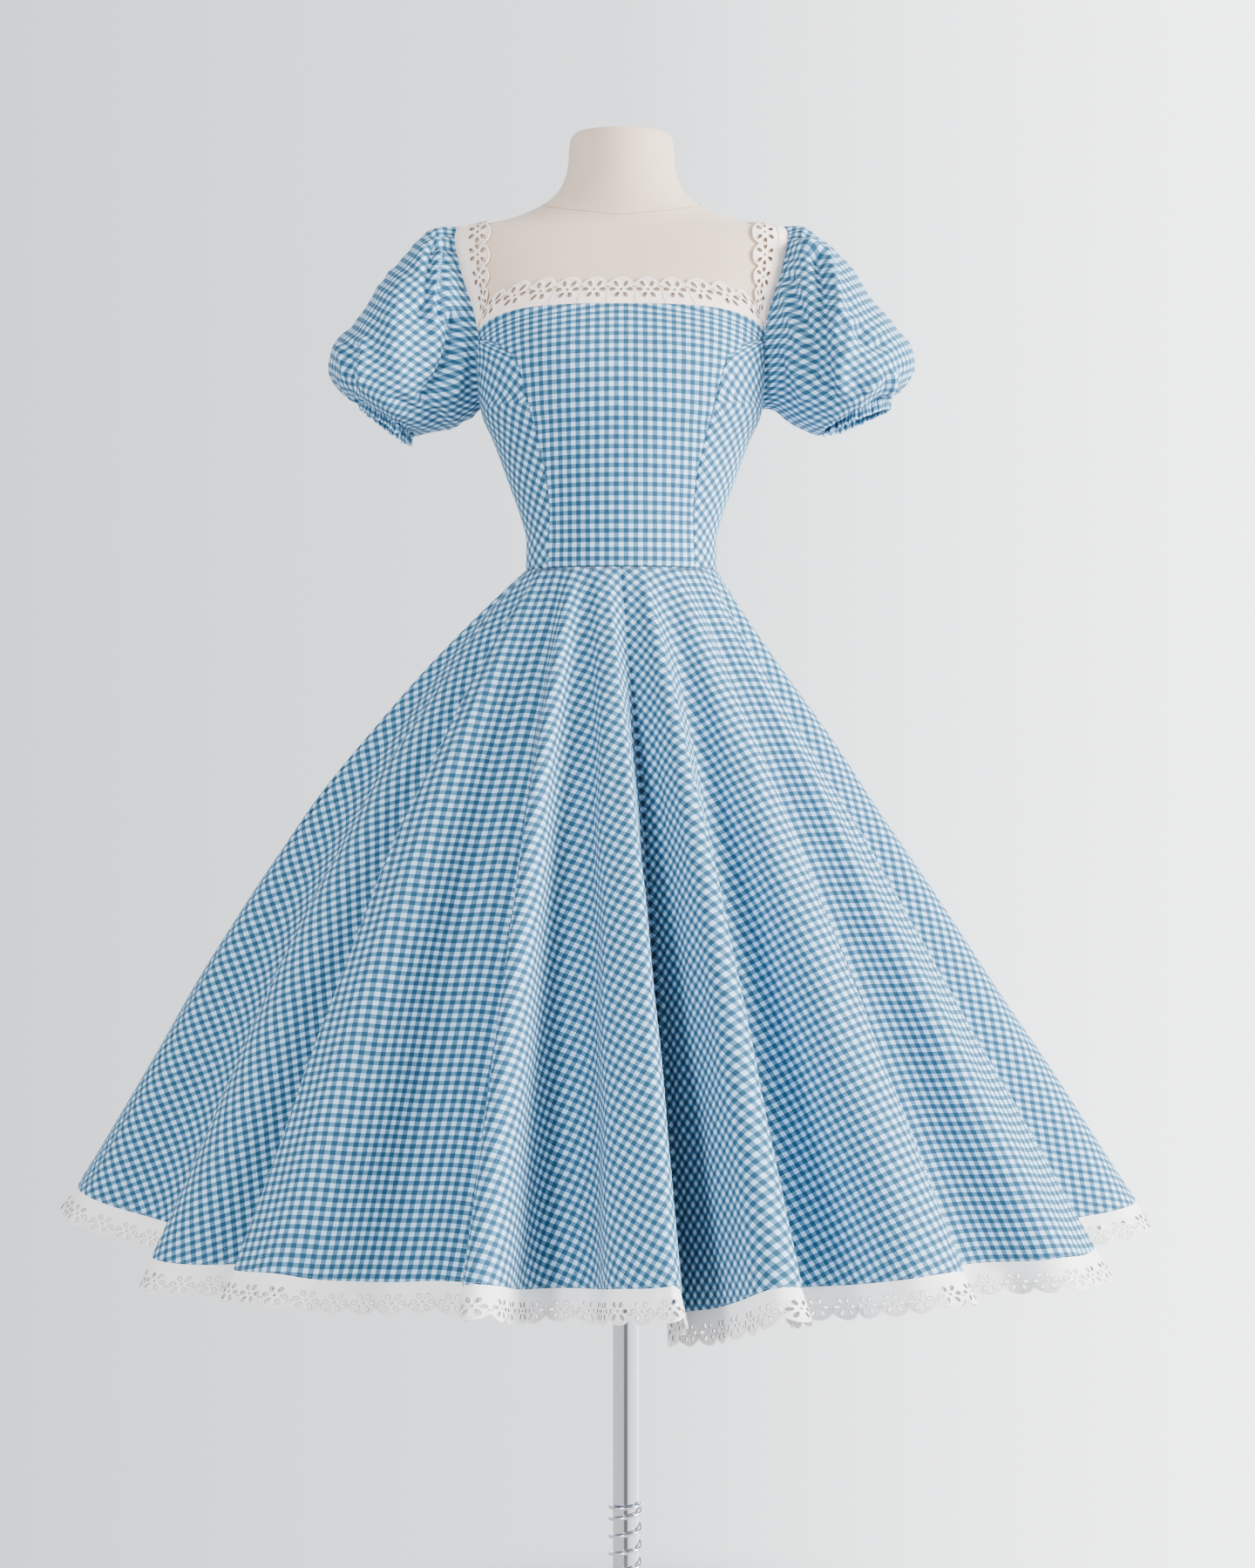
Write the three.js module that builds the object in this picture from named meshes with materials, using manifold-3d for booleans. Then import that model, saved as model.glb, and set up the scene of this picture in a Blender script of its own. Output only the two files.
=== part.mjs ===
// Summer dress with a square neck, puff sleeves and a full-circle skirt, on a limbless dress form.
// Millimetres. +Z is up, the front faces -Y and +X is the right side seen from the front.
// The origin is the centre of the base's underside, on the axis of the pole.
import * as THREE from 'three';
import { mergeVertices } from 'three/addons/utils/BufferGeometryUtils.js';
import Module from 'manifold-3d';

// Cloth and the gaps between the pieces
const CLOTH = 1.5;
const SKIRT_CLOTH = 1.2;
const SEAM_GAP = 0.3;
const EASE = 2.2;             // between the form and the bodice
const STRAP_EASE = 2.1;       // between the form and what rests on its shoulders

// The form stands a little to the left of the pole
const FORM_X = -5;
const WAIST_Z = 1272;
const FORM_BOTTOM_Z = 1040;
const FORM_COLUMNS = 30;

// Sections of the form, each a super-ellipse
const FORM_SECTIONS = [
  { z: 1040, half: 120, front: 95, back: 100, power: 2.2 },
  { z: 1060, half: 140, front: 108, back: 114, power: 2.2 },
  { z: 1100, half: 150, front: 112, back: 120, power: 2.2 },
  { z: 1160, half: 140, front: 106, back: 114, power: 2.15 },
  { z: 1220, half: 119, front: 93, back: 97, power: 2.1 },
  { z: 1272, half: 106, front: 83, back: 86, power: 2.0 },
  { z: 1306, half: 105.5, front: 89, back: 84, power: 2.0 },
  { z: 1335, half: 112.5, front: 97, back: 85, power: 2.0 },
  { z: 1370, half: 125, front: 107, back: 89, power: 2.05 },
  { z: 1423, half: 144.5, front: 122, back: 95, power: 2.15 },
  { z: 1449, half: 156, front: 130, back: 98, power: 2.25 },
  { z: 1487, half: 163, front: 133, back: 101, power: 2.35 },
  { z: 1515, half: 165, front: 125, back: 102, power: 2.38 },
  { z: 1541, half: 167, front: 109, back: 102, power: 2.4 },
  { z: 1570, half: 174, front: 89, back: 100, power: 2.5 },
  { z: 1600, half: 182, front: 77, back: 94, power: 2.6 },
  { z: 1630, half: 187, front: 69, back: 83, power: 2.5 },
  { z: 1650, half: 189, front: 62, back: 72, power: 2.3 },
  { z: 1660, half: 187, front: 59, back: 65, power: 2.0 },
  { z: 1667, half: 165, front: 57, back: 62, power: 1.75 },
  { z: 1677, half: 124, front: 58, back: 61, power: 1.65 },
  { z: 1687, half: 99, front: 60, back: 62, power: 1.7 },
  { z: 1697, half: 82, front: 61, back: 62, power: 1.9 },
  { z: 1712, half: 69, front: 60, back: 60, power: 2.0 },
  { z: 1732, half: 62, front: 57, back: 57, power: 2.0 },
  { z: 1766, half: 58.5, front: 55, back: 55, power: 2.0 },
  { z: 1772, half: 54, front: 51, back: 51, power: 2.0 },
];
const FORM_ROWS = [
  1040, 1060, 1100, 1160, 1220, 1272, 1306, 1340, 1374, 1408, 1440, 1470, 1500, 1530, 1560, 1590,
  1618, 1640, 1654, 1661, 1667, 1674, 1682, 1692, 1706, 1728, 1766, 1772,
];
const NECK_KNOB_RADIUS = 4;
const NECK_KNOB_HEIGHT = 5;
const NECK_KNOB_TOP_RADIUS = 2.4;
const GRADIENT_STEP = 0.5;     // either side, for the slope of the form's field

// Stand
const POLE_RADIUS = 15;
const POLE_SIDES = 24;
const BASE_RADIUS = 190;
const BASE_HEIGHT = 10;
const BASE_EDGE = 3;
const BASE_SIDES = 36;
const HUB_RADIUS = 26;
const HUB_TOP_Z = 44;
const HUB_EDGE = 4;
const SPRING_WIRE_RADIUS = 2;
const SPRING_RADIUS = 18.4;
const SPRING_TOP_Z = 205;
const SPRING_TURNS = 9;
const SPRING_STEPS = 12;
const SPRING_SIDES = 5;
const SPRING_CLOSE_TURNS = 1;   // the wire lies almost flat here at each end
const SPRING_CLOSE_PITCH = 8;

// Bodice: the rows are heights on the seam between front and side front
const BODICE_ROWS = [1272, 1306, 1340, 1374, 1408, 1440, 1470, 1500, 1516, 1530, 1541];
const SIDE_PANEL_ROWS = 10;
const NECK_CORNER_Z = 1541;
const NECK_CENTRE_Z = 1565;
const NECK_DROP_POWER = 2.6;
const PRINCESS_SEAM = [
  { z: 1272, half: 81 },
  { z: 1335, half: 79 },
  { z: 1379, half: 84 },
  { z: 1423, half: 94 },
  { z: 1464, half: 105 },
  { z: 1499, half: 115 },
  { z: 1516, half: 131 },
  { z: 1530, half: 152 },
];
const FRONT_COLUMNS = 16;
const SIDE_COLUMNS = 5;
const STEEP_SEAM_Z = 1500;     // above this the seams run across the rows and need a wider step
const BACK_COLUMNS = 7;

// Armhole, an egg seen from the side, narrow at the shoulder
const ARMHOLE_Z = 1560;
const ARMHOLE_HALF_HEIGHT = 103;
const ARMHOLE_HALF_WIDTH = 58;
const ARMHOLE_TAPER = 0.66;

// Eyelet edging
const LACE_CLOTH = 1.2;
const SCALLOP_DEPTH = 8;
const LACE_HEIGHT = 28;
const LACE_LIFT = 0.5;        // above the neckline seam
const LACE_CORNER_Z = 1570;
const STRAP_INNER_X = 150;
const STRAP_WIDTH = 40;
const STRAP_SEAM_GAP = 0.6;     // its two pieces bend unlike each other over the shoulder
const STRAP_LACE_SHARE = 0.64;
const STRAP_EDGE_SHARE = 0.97;  // the band stops here, short of the armhole's edge
const STRAP_RAY_REACH = 200;    // longer than the way from the strap's inside to its edge
const MITRE_SHARE = 0.002;      // of the edging's length, left open at each end
const CORNER_DROP_POWER = 4;    // the neck edging's top runs straight and then down to its corners
const SCALLOP_FADE_POWER = 12;  // its scallops end at the corners
const STRAP_SCALLOPS = 10;
const NECK_SCALLOPS = 11;

// Sleeves: each row joins the outer line to the underarm line, X and Z from the form's middle
const SLEEVE_CLOTH = 1.2;
const SLEEVE_COLUMNS = 28;
const SLEEVE_OFF_BODICE = 0.3;
const LEFT_SLEEVE = [
  { outX: -216, outZ: 1664, underX: -173, underZ: 1447, depth: 64, gather: 1.5 },
  { outX: -247, outZ: 1634, underX: -188, underZ: 1438, depth: 80, gather: 1.0 },
  { outX: -278, outZ: 1598, underX: -204, underZ: 1434, depth: 90, gather: 0.6 },
  { outX: -305, outZ: 1556, underX: -218, underZ: 1431, depth: 95, gather: 0.8 },
  { outX: -329, outZ: 1530, underX: -228, underZ: 1429, depth: 94, gather: 1.5 },
  { outX: -335, outZ: 1503, underX: -236, underZ: 1428, depth: 85, gather: 2.2 },
  { outX: -325, outZ: 1480, underX: -240, underZ: 1427, depth: 68, gather: 2.4 },
  { outX: -300, outZ: 1467, underX: -240, underZ: 1427, depth: 47, gather: 1.2 },
  { outX: -299, outZ: 1457, underX: -242, underZ: 1416, depth: 53, gather: 3.0 },
];
const RIGHT_SLEEVE = [
  { outX: 209, outZ: 1665, underX: 177, underZ: 1455, depth: 64, gather: 1.5 },
  { outX: 236, outZ: 1647, underX: 189, underZ: 1446, depth: 80, gather: 1.0 },
  { outX: 264, outZ: 1617, underX: 200, underZ: 1438, depth: 90, gather: 0.6 },
  { outX: 289, outZ: 1580, underX: 210, underZ: 1433, depth: 95, gather: 0.8 },
  { outX: 316, outZ: 1550, underX: 218, underZ: 1430, depth: 94, gather: 1.5 },
  { outX: 335, outZ: 1519, underX: 225, underZ: 1428, depth: 86, gather: 2.2 },
  { outX: 330, outZ: 1490, underX: 230, underZ: 1429, depth: 70, gather: 2.4 },
  { outX: 306, outZ: 1471, underX: 234, underZ: 1438, depth: 47, gather: 1.2 },
  { outX: 308, outZ: 1457, underX: 232, underZ: 1427, depth: 53, gather: 3.0 },
];

// Skirt: a full circle, cut as four quarter gores
const SKIRT_LENGTH = 911;       // straight from the waist to the bottom of the edging, at a crest
const VALLEY_SHORTENING = 46;
const BLUE_SHARE = 0.9585;      // of that length, above the edging
const WAIST_HALF = 110;
const WAIST_FRONT = 87;
const WAIST_BACK = 89;
const WAIST_ROUND = 623;
const BULGE = 144;
const BULGE_LEAN = 118;         // more of it on the left side, less on the right
const BULGE_NEAR_POWER = 0.97;
const BULGE_FAR_POWER = 1.55;
const SKIRT_ROWS = [0, 0.07, 0.2, 0.42, 0.68, BLUE_SHARE];
const GORE_SCALLOPS = 50;
const HEM_LACE_GAP = 0.35;
const HEM_SAMPLES_PER_FOLD = 40;
const NORMAL_STEP_ROUND = 0.0008; // either side, for the skirt's slope
const NORMAL_STEP_DOWN = 0.02;
const FOLD_ROUNDNESS = 0.6;     // 0 for pointed folds, 1 for folds with upright flanks
const CENTRE_FRONT_FOLD = 5;    // centre front lies in the valley after this crest

// Each fold of the hem seen from above: degrees from the front towards +X, distance from the pole
const FOLDS = [
  { crestAt: -90, crest: 646, valleyAt: -70, valley: 518, lift: 8, valleyLift: 0 },
  { crestAt: -61, crest: 585, valleyAt: -50, valley: 473, lift: 0, valleyLift: 4 },
  { crestAt: -44, crest: 585, valleyAt: -20, valley: 458, lift: 8, valleyLift: 6 },
  { crestAt: -14.5, crest: 604, valleyAt: -8.5, valley: 473, lift: 0, valleyLift: 0 },
  { crestAt: 4.5, crest: 604, valleyAt: 7, valley: 448, lift: 0, valleyLift: -18 },
  { crestAt: 15, crest: 606, valleyAt: 22.5, valley: 458, lift: -6, valleyLift: 0 },
  { crestAt: 34, crest: 578, valleyAt: 48, valley: 473, lift: 12, valleyLift: 0 },
  { crestAt: 62, crest: 580, valleyAt: 75, valley: 503, lift: 4, valleyLift: 0 },
  { crestAt: 90, crest: 606, valleyAt: 100, valley: 473, lift: 8, valleyLift: 0 },
  { crestAt: 111, crest: 600, valleyAt: 121, valley: 458, lift: 0, valleyLift: -10 },
  { crestAt: 131, crest: 592, valleyAt: 141, valley: 463, lift: 6, valleyLift: 0 },
  { crestAt: 151, crest: 604, valleyAt: 162, valley: 453, lift: 0, valleyLift: 4 },
  { crestAt: 172, crest: 600, valleyAt: 182, valley: 458, lift: 5, valleyLift: -12 },
  { crestAt: 192, crest: 606, valleyAt: 202, valley: 463, lift: 0, valleyLift: 0 },
  { crestAt: 212, crest: 598, valleyAt: 222, valley: 453, lift: 6, valleyLift: -6 },
  { crestAt: 232, crest: 608, valleyAt: 242, valley: 468, lift: 0, valleyLift: 0 },
  { crestAt: 251, crest: 622, valleyAt: 261, valley: 498, lift: 5, valleyLift: 0 },
];

// Zip at the centre back: the slider's arch holds the pull tab's cross bar
const ZIP_Z = 1540;
const SLIDER_CLEARANCE = 0.4;
const SLIDER_WIDTH = 8;
const SLIDER_THICKNESS = 2.4;
const SLIDER_LENGTH = 12;
const ARCH_WIDTH = 2.4;
const ARCH_LENGTH = 6.6;
const ARCH_REACH = 3.4;
const ARCH_WIRE = 1;
const TAB_WIDTH = 6.2;
const TAB_THICKNESS = 1.2;
const TAB_LENGTH = 24;
const TAB_BAR = 1.3;
const TAB_BAR_REACH = 1.25;   // from the slider's face to the middle of the bar
const TAB_SLOT_WIDTH = 3.4;
const TAB_SLOT_LENGTH = 4.3;

// Finishes
const finish = (color, roughness, metalness = 0) =>
  new THREE.MeshStandardMaterial({ color, roughness, metalness });
const GINGHAM = finish('#8fb3cc', 0.85);
const EYELET = finish('#f3f1ec', 0.85);
const FORM_COVER = finish('#d8cdc4', 0.9);
const CHROME = finish('#c9ccd0', 0.15, 1);
const ENAMEL = finish('#dbd9d4', 0.4);
const NICKEL = finish('#b9bcc0', 0.3, 1);

const dress = new THREE.Group();

function addMesh(name, geometry, material, parent = dress) {
  const mesh = new THREE.Mesh(geometry, material);
  mesh.name = name;
  parent.add(mesh);
  return mesh;
}

const radians = THREE.MathUtils.degToRad;
const signedPower = (value, power) => Math.sign(value) * Math.abs(value) ** power;

// Smooth curve through a table's column that never overshoots its rows
function readTable(rows, key, column, at) {
  const last = rows.length - 1;
  const clamped = Math.min(Math.max(at, rows[0][key]), rows[last][key]);
  let i = 0;
  while (i < last - 1 && rows[i + 1][key] < clamped) i += 1;
  const slope = (k) => (rows[k + 1][column] - rows[k][column]) / (rows[k + 1][key] - rows[k][key]);
  const tangent = (k) => {
    if (k === 0) return slope(0);
    if (k === last) return slope(last - 1);
    const before = slope(k - 1);
    const after = slope(k);
    return before * after <= 0 ? 0 : (2 * before * after) / (before + after);
  };
  const span = rows[i + 1][key] - rows[i][key];
  const t = (clamped - rows[i][key]) / span;
  const u = 1 - t;
  return (
    rows[i][column] * u * u * (1 + 2 * t) +
    rows[i + 1][column] * t * t * (1 + 2 * u) +
    span * t * u * (u * tangent(i) - t * tangent(i + 1))
  );
}

const formSize = (column, z) => readTable(FORM_SECTIONS, 'z', column, z);

// Point of the form at a height, at an angle from the front towards +X
function formPoint(angle, z) {
  const half = formSize('half', z);
  const depth = formSize(Math.cos(angle) >= 0 ? 'front' : 'back', z);
  const power = 2 / formSize('power', z);
  return new THREE.Vector3(
    half * signedPower(Math.sin(angle), power),
    -depth * signedPower(Math.cos(angle), power),
    z,
  );
}

// Below zero inside the form, above zero outside it
function formField(point) {
  const half = formSize('half', point.z);
  const depth = formSize(point.y <= 0 ? 'front' : 'back', point.z);
  const power = formSize('power', point.z);
  return (Math.abs(point.x / half) ** power + Math.abs(point.y / depth) ** power) ** (1 / power) - 1;
}

function formGradient(point) {
  const partial = ['x', 'y', 'z'].map((axis) => {
    const ahead = point.clone();
    const behind = point.clone();
    ahead[axis] += GRADIENT_STEP;
    behind[axis] -= GRADIENT_STEP;
    return (formField(ahead) - formField(behind)) / (2 * GRADIENT_STEP);
  });
  return new THREE.Vector3(...partial);
}

// Moves a point onto the form's surface and then out from it
function liftFromForm(point, offset) {
  const moved = point.clone();
  for (let pass = 0; pass < 8; pass += 1) {
    const gradient = formGradient(moved);
    moved.addScaledVector(gradient, -formField(moved) / gradient.lengthSq());
  }
  return moved.addScaledVector(formGradient(moved).normalize(), offset);
}

// Closed geometry from points and triangles, with its faces turned out where they point in
function closedGeometry(points, index) {
  const volume = new THREE.Vector3();
  let sum = 0;
  for (let i = 0; i < index.length; i += 3) {
    const [a, b, c] = [points[index[i]], points[index[i + 1]], points[index[i + 2]]];
    sum += volume.crossVectors(b, c).dot(a);
  }
  if (sum < 0) index.reverse();
  const geometry = new THREE.BufferGeometry();
  const numbers = points.flatMap((point) => point.toArray());
  geometry.setAttribute('position', new THREE.Float32BufferAttribute(numbers, 3));
  geometry.setIndex(index);
  return geometry;
}

const middleOf = (ring) =>
  ring.reduce((sum, point) => sum.add(point), new THREE.Vector3()).divideScalar(ring.length);

// Closed mesh from two grids of points, outer[row][column] and inner[row][column].
// A wrapped grid closes on itself round the columns.
function wall(outer, inner, wrapped = false) {
  const rows = outer.length;
  const columns = outer[0].length;
  const innerStart = rows * columns;
  const index = [];
  const outerAt = (row, column) => row * columns + (column % columns);
  const innerAt = (row, column) => innerStart + outerAt(row, column);
  const quad = (a, b, c, d) => index.push(a, b, c, a, c, d);
  const spans = wrapped ? columns : columns - 1;
  for (let row = 0; row < rows - 1; row += 1) {
    for (let column = 0; column < spans; column += 1) {
      const next = column + 1;
      quad(outerAt(row, column), outerAt(row, next), outerAt(row + 1, next), outerAt(row + 1, column));
      quad(innerAt(row, column), innerAt(row + 1, column), innerAt(row + 1, next), innerAt(row, next));
    }
  }
  for (let column = 0; column < spans; column += 1) {
    const next = column + 1;
    const top = rows - 1;
    quad(outerAt(0, next), outerAt(0, column), innerAt(0, column), innerAt(0, next));
    quad(outerAt(top, column), outerAt(top, next), innerAt(top, next), innerAt(top, column));
  }
  for (let row = 0; row < rows - 1 && !wrapped; row += 1) {
    const edge = columns - 1;
    quad(outerAt(row, 0), outerAt(row + 1, 0), innerAt(row + 1, 0), innerAt(row, 0));
    quad(outerAt(row + 1, edge), outerAt(row, edge), innerAt(row, edge), innerAt(row + 1, edge));
  }
  return closedGeometry([...outer.flat(), ...inner.flat()], index);
}

// Closed mesh through rings of points, each end closed by a fan to its middle
function skin(rings) {
  const columns = rings[0].length;
  const points = [...rings.flat(), middleOf(rings[0]), middleOf(rings.at(-1))];
  const bottom = points.length - 2;
  const top = points.length - 1;
  const at = (row, column) => row * columns + (column % columns);
  const index = [];
  for (let column = 0; column < columns; column += 1) {
    for (let row = 0; row < rings.length - 1; row += 1) {
      index.push(at(row, column), at(row, column + 1), at(row + 1, column + 1));
      index.push(at(row, column), at(row + 1, column + 1), at(row + 1, column));
    }
    index.push(bottom, at(0, column + 1), at(0, column));
    index.push(top, at(rings.length - 1, column), at(rings.length - 1, column + 1));
  }
  return closedGeometry(points, index);
}

const range = (count) => Array.from({ length: count }, (_, i) => i);

// Dress form

const worn = new THREE.Group();
worn.position.x = FORM_X;
dress.add(worn);

function makeForm() {
  const ring = (z) => range(FORM_COLUMNS).map((i) => formPoint((2 * Math.PI * i) / FORM_COLUMNS, z));
  addMesh('form_torso', skin(FORM_ROWS.map(ring)), FORM_COVER, worn);
  const knob = new THREE.LatheGeometry(
    [
      new THREE.Vector2(0, 0),
      new THREE.Vector2(NECK_KNOB_RADIUS, 0),
      new THREE.Vector2(NECK_KNOB_RADIUS, NECK_KNOB_HEIGHT / 2),
      new THREE.Vector2(NECK_KNOB_TOP_RADIUS, NECK_KNOB_HEIGHT),
      new THREE.Vector2(0, NECK_KNOB_HEIGHT),
    ],
    12,
  );
  knob.rotateX(Math.PI / 2);
  const knobMesh = addMesh('neck_knob', knob, CHROME, worn);
  knobMesh.position.set(0, 0, FORM_ROWS.at(-1) + SEAM_GAP);
}

// Stand: base, hub, pole and the spring round the pole

function turned(profile, sides) {
  const geometry = new THREE.LatheGeometry(profile.map(([r, z]) => new THREE.Vector2(r, z)), sides);
  geometry.rotateX(Math.PI / 2);
  return geometry;
}

function makeStand() {
  const base = [
    [0, 0],
    [BASE_RADIUS - BASE_EDGE, 0],
    [BASE_RADIUS, BASE_EDGE],
    [BASE_RADIUS, BASE_HEIGHT - BASE_EDGE],
    [BASE_RADIUS - BASE_EDGE, BASE_HEIGHT],
    [0, BASE_HEIGHT],
  ];
  addMesh('stand_base', turned(base, BASE_SIDES), ENAMEL);
  const hubBottom = BASE_HEIGHT + SEAM_GAP;
  const bore = POLE_RADIUS + SEAM_GAP;
  const hub = [
    [bore, hubBottom],
    [HUB_RADIUS, hubBottom],
    [HUB_RADIUS, HUB_TOP_Z - HUB_EDGE],
    [HUB_RADIUS - HUB_EDGE, HUB_TOP_Z],
    [bore, HUB_TOP_Z],
    [bore, hubBottom],
  ];
  addMesh('stand_hub', turned(hub, POLE_SIDES), CHROME);
  const poleTop = FORM_BOTTOM_Z - SEAM_GAP;
  const pole = [[0, hubBottom], [POLE_RADIUS, hubBottom], [POLE_RADIUS, poleTop], [0, poleTop]];
  addMesh('stand_pole', turned(pole, POLE_SIDES), CHROME);
  addMesh('stand_spring', makeSpring(), CHROME);
}

function makeSpring() {
  const low = HUB_TOP_Z + SEAM_GAP + SPRING_WIRE_RADIUS;
  const high = SPRING_TOP_Z - SPRING_WIRE_RADIUS;
  const openTurns = SPRING_TURNS - 2 * SPRING_CLOSE_TURNS;
  const closeRise = SPRING_CLOSE_TURNS * SPRING_CLOSE_PITCH;
  const openPitch = (high - low - 2 * closeRise) / openTurns;
  const heightAt = (turn) => {
    if (turn < SPRING_CLOSE_TURNS) return low + turn * SPRING_CLOSE_PITCH;
    if (turn > SPRING_TURNS - SPRING_CLOSE_TURNS) return high - (SPRING_TURNS - turn) * SPRING_CLOSE_PITCH;
    return low + closeRise + (turn - SPRING_CLOSE_TURNS) * openPitch;
  };
  const rings = range(SPRING_TURNS * SPRING_STEPS + 1).map((step) => {
    const turn = step / SPRING_STEPS;
    const angle = 2 * Math.PI * turn;
    const outward = new THREE.Vector3(Math.cos(angle), Math.sin(angle), 0);
    return range(SPRING_SIDES).map((side) => {
      const round = (2 * Math.PI * side) / SPRING_SIDES;
      const reach = SPRING_RADIUS + SPRING_WIRE_RADIUS * Math.cos(round);
      const point = outward.clone().multiplyScalar(reach);
      point.z = heightAt(turn) - SPRING_WIRE_RADIUS * Math.sin(round);
      return point;
    });
  });
  return skin(rings);
}

// Bodice

// Angle on the form's section at a height where the section reaches a given half width
function angleAtWidth(half, z) {
  return Math.asin(Math.min(1, half / formSize('half', z)) ** (formSize('power', z) / 2));
}

// Half width of the armhole at a rise from its middle, -1 under the arm and 1 at the shoulder
const armholeHalfWidth = (rise) =>
  ARMHOLE_HALF_WIDTH * Math.sqrt(1 - rise * rise) * (1 - (ARMHOLE_TAPER * (1 + rise)) / 2);

// Angle on the section where the armhole's edge crosses a height, a quarter turn below the armhole
function armholeAngle(z, column) {
  const rise = (z - ARMHOLE_Z) / ARMHOLE_HALF_HEIGHT;
  if (rise <= -1) return Math.PI / 2;
  const reach = armholeHalfWidth(rise);
  return Math.acos((reach / formSize(column, z)) ** (formSize('power', z) / 2));
}

const princessAngle = (z) => angleAtWidth(readTable(PRINCESS_SEAM, 'z', 'half', z), z);

function panelEdge(z, column) {
  const beyondSeam = z > PRINCESS_SEAM.at(-1).z;
  return beyondSeam ? armholeAngle(z, column) : princessAngle(z);
}

// Height of the neckline at a share of the way from the centre to the armhole
const neckHeight = (share) =>
  NECK_CENTRE_Z - (NECK_CENTRE_Z - NECK_CORNER_Z) * Math.abs(share) ** NECK_DROP_POWER;

const seamAngle = (z) => ((z > STEEP_SEAM_Z ? 2 : 1) * SEAM_GAP) / 2 / formSize('half', z);

// Two points of the wall over a place on the form: its outside and its inside
function wallPoints(angle, z, ease, thickness) {
  const under = formPoint(angle, z);
  const outward = formGradient(under).normalize();
  return [
    under.clone().addScaledVector(outward, ease + thickness),
    under.clone().addScaledVector(outward, ease),
  ];
}

// Panel between two lines: place(row, share) gives the angle and height there
function bodicePanel(name, rowCount, columns, place) {
  const grids = [[], []];
  for (let row = 0; row < rowCount; row += 1) {
    const pairs = range(columns + 1).map((i) => {
      const [angle, z] = place(row, i / columns);
      return wallPoints(angle, z, EASE, CLOTH);
    });
    grids[0].push(pairs.map((pair) => pair[0]));
    grids[1].push(pairs.map((pair) => pair[1]));
  }
  addMesh(name, wall(grids[0], grids[1]), GINGHAM, worn);
}

function makeBodice() {
  const scaledZ = (seamZ, share) =>
    WAIST_Z + ((seamZ - WAIST_Z) * (neckHeight(share) - WAIST_Z)) / (NECK_CORNER_Z - WAIST_Z);
  bodicePanel('bodice_front', BODICE_ROWS.length, FRONT_COLUMNS, (row, share) => {
    const seamZ = BODICE_ROWS[row];
    const across = 2 * share - 1;
    return [across * (panelEdge(seamZ, 'front') - seamAngle(seamZ)), scaledZ(seamZ, across)];
  });
  for (const side of [-1, 1]) {
    const word = side < 0 ? 'left' : 'right';
    // The share runs so that the angle grows with the column on both sides
    const along = (share) => (side < 0 ? 1 - share : share);
    bodicePanel(`bodice_side_front_${word}`, SIDE_PANEL_ROWS, SIDE_COLUMNS, (row, share) => {
      const z = BODICE_ROWS[row];
      const inner = princessAngle(z) + seamAngle(z);
      const outer = armholeAngle(z, 'front') - seamAngle(z);
      return [side * THREE.MathUtils.lerp(inner, outer, along(share)), z];
    });
    bodicePanel(`bodice_side_back_${word}`, SIDE_PANEL_ROWS, SIDE_COLUMNS, (row, share) => {
      const z = BODICE_ROWS[row];
      const inner = Math.PI - princessAngle(z) - seamAngle(z);
      const outer = Math.PI - armholeAngle(z, 'back') + seamAngle(z);
      return [side * THREE.MathUtils.lerp(outer, inner, along(share)), z];
    });
    bodicePanel(`bodice_back_${word}`, BODICE_ROWS.length, BACK_COLUMNS, (row, share) => {
      const seamZ = BODICE_ROWS[row];
      const fromCentre = 1 - along(share);
      const edge = panelEdge(seamZ, 'back') - seamAngle(seamZ);
      const zipGap = seamAngle(seamZ);
      const angle = Math.PI - THREE.MathUtils.lerp(zipGap, edge, fromCentre);
      return [side * angle, scaledZ(seamZ, fromCentre)];
    });
  }
}

// Eyelet edging round the neck and over the shoulders

// Depth of the scallop at a column, out at its tips and in at its notches
const scallop = (column) => (column % 2 === 1 ? SCALLOP_DEPTH / 2 : -SCALLOP_DEPTH / 2);

// Strip that lies over the form: place(along, across) gives a rough point near its surface
function strip(name, columns, rows, place, ease) {
  const outer = [];
  const inner = [];
  for (let row = 0; row <= rows; row += 1) {
    const rough = range(columns + 1).map((i) => place(i, row / rows));
    outer.push(rough.map((point) => liftFromForm(point, ease + LACE_CLOTH)));
    inner.push(rough.map((point) => liftFromForm(point, ease)));
  }
  addMesh(name, wall(outer, inner), EYELET, worn);
}

// Armhole edge on the form: zero under the arm, half a turn at the shoulder, the front first
function armholePoint(turn, side) {
  const z = ARMHOLE_Z - ARMHOLE_HALF_HEIGHT * Math.cos(turn);
  const y = -Math.sign(Math.sin(turn)) * armholeHalfWidth(-Math.cos(turn));
  const depth = formSize(y <= 0 ? 'front' : 'back', z);
  const power = formSize('power', z);
  const share = Math.min(1, Math.abs(y) / depth) ** power;
  return new THREE.Vector3(side * formSize('half', z) * (1 - share) ** (1 / power), y, z);
}

const mitreTurn = Math.acos((ARMHOLE_Z - NECK_CORNER_Z) / ARMHOLE_HALF_HEIGHT);

// Inner edge of the strap, from the front corner of the neck over the shoulder to the back corner:
// the form's arch at one distance from its middle, found by halving along a ray
function strapInner(along, side) {
  const turn = Math.PI * along;
  const ray = (reach) => {
    const rise = reach * Math.sin(turn);
    return new THREE.Vector3(side * STRAP_INNER_X, -reach * Math.cos(turn), LACE_CORNER_Z + rise);
  };
  let near = 0;
  let far = STRAP_RAY_REACH;
  for (let pass = 0; pass < 30; pass += 1) {
    const middle = (near + far) / 2;
    if (formField(ray(middle)) < 0) near = middle;
    else far = middle;
  }
  return ray(near);
}

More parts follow.
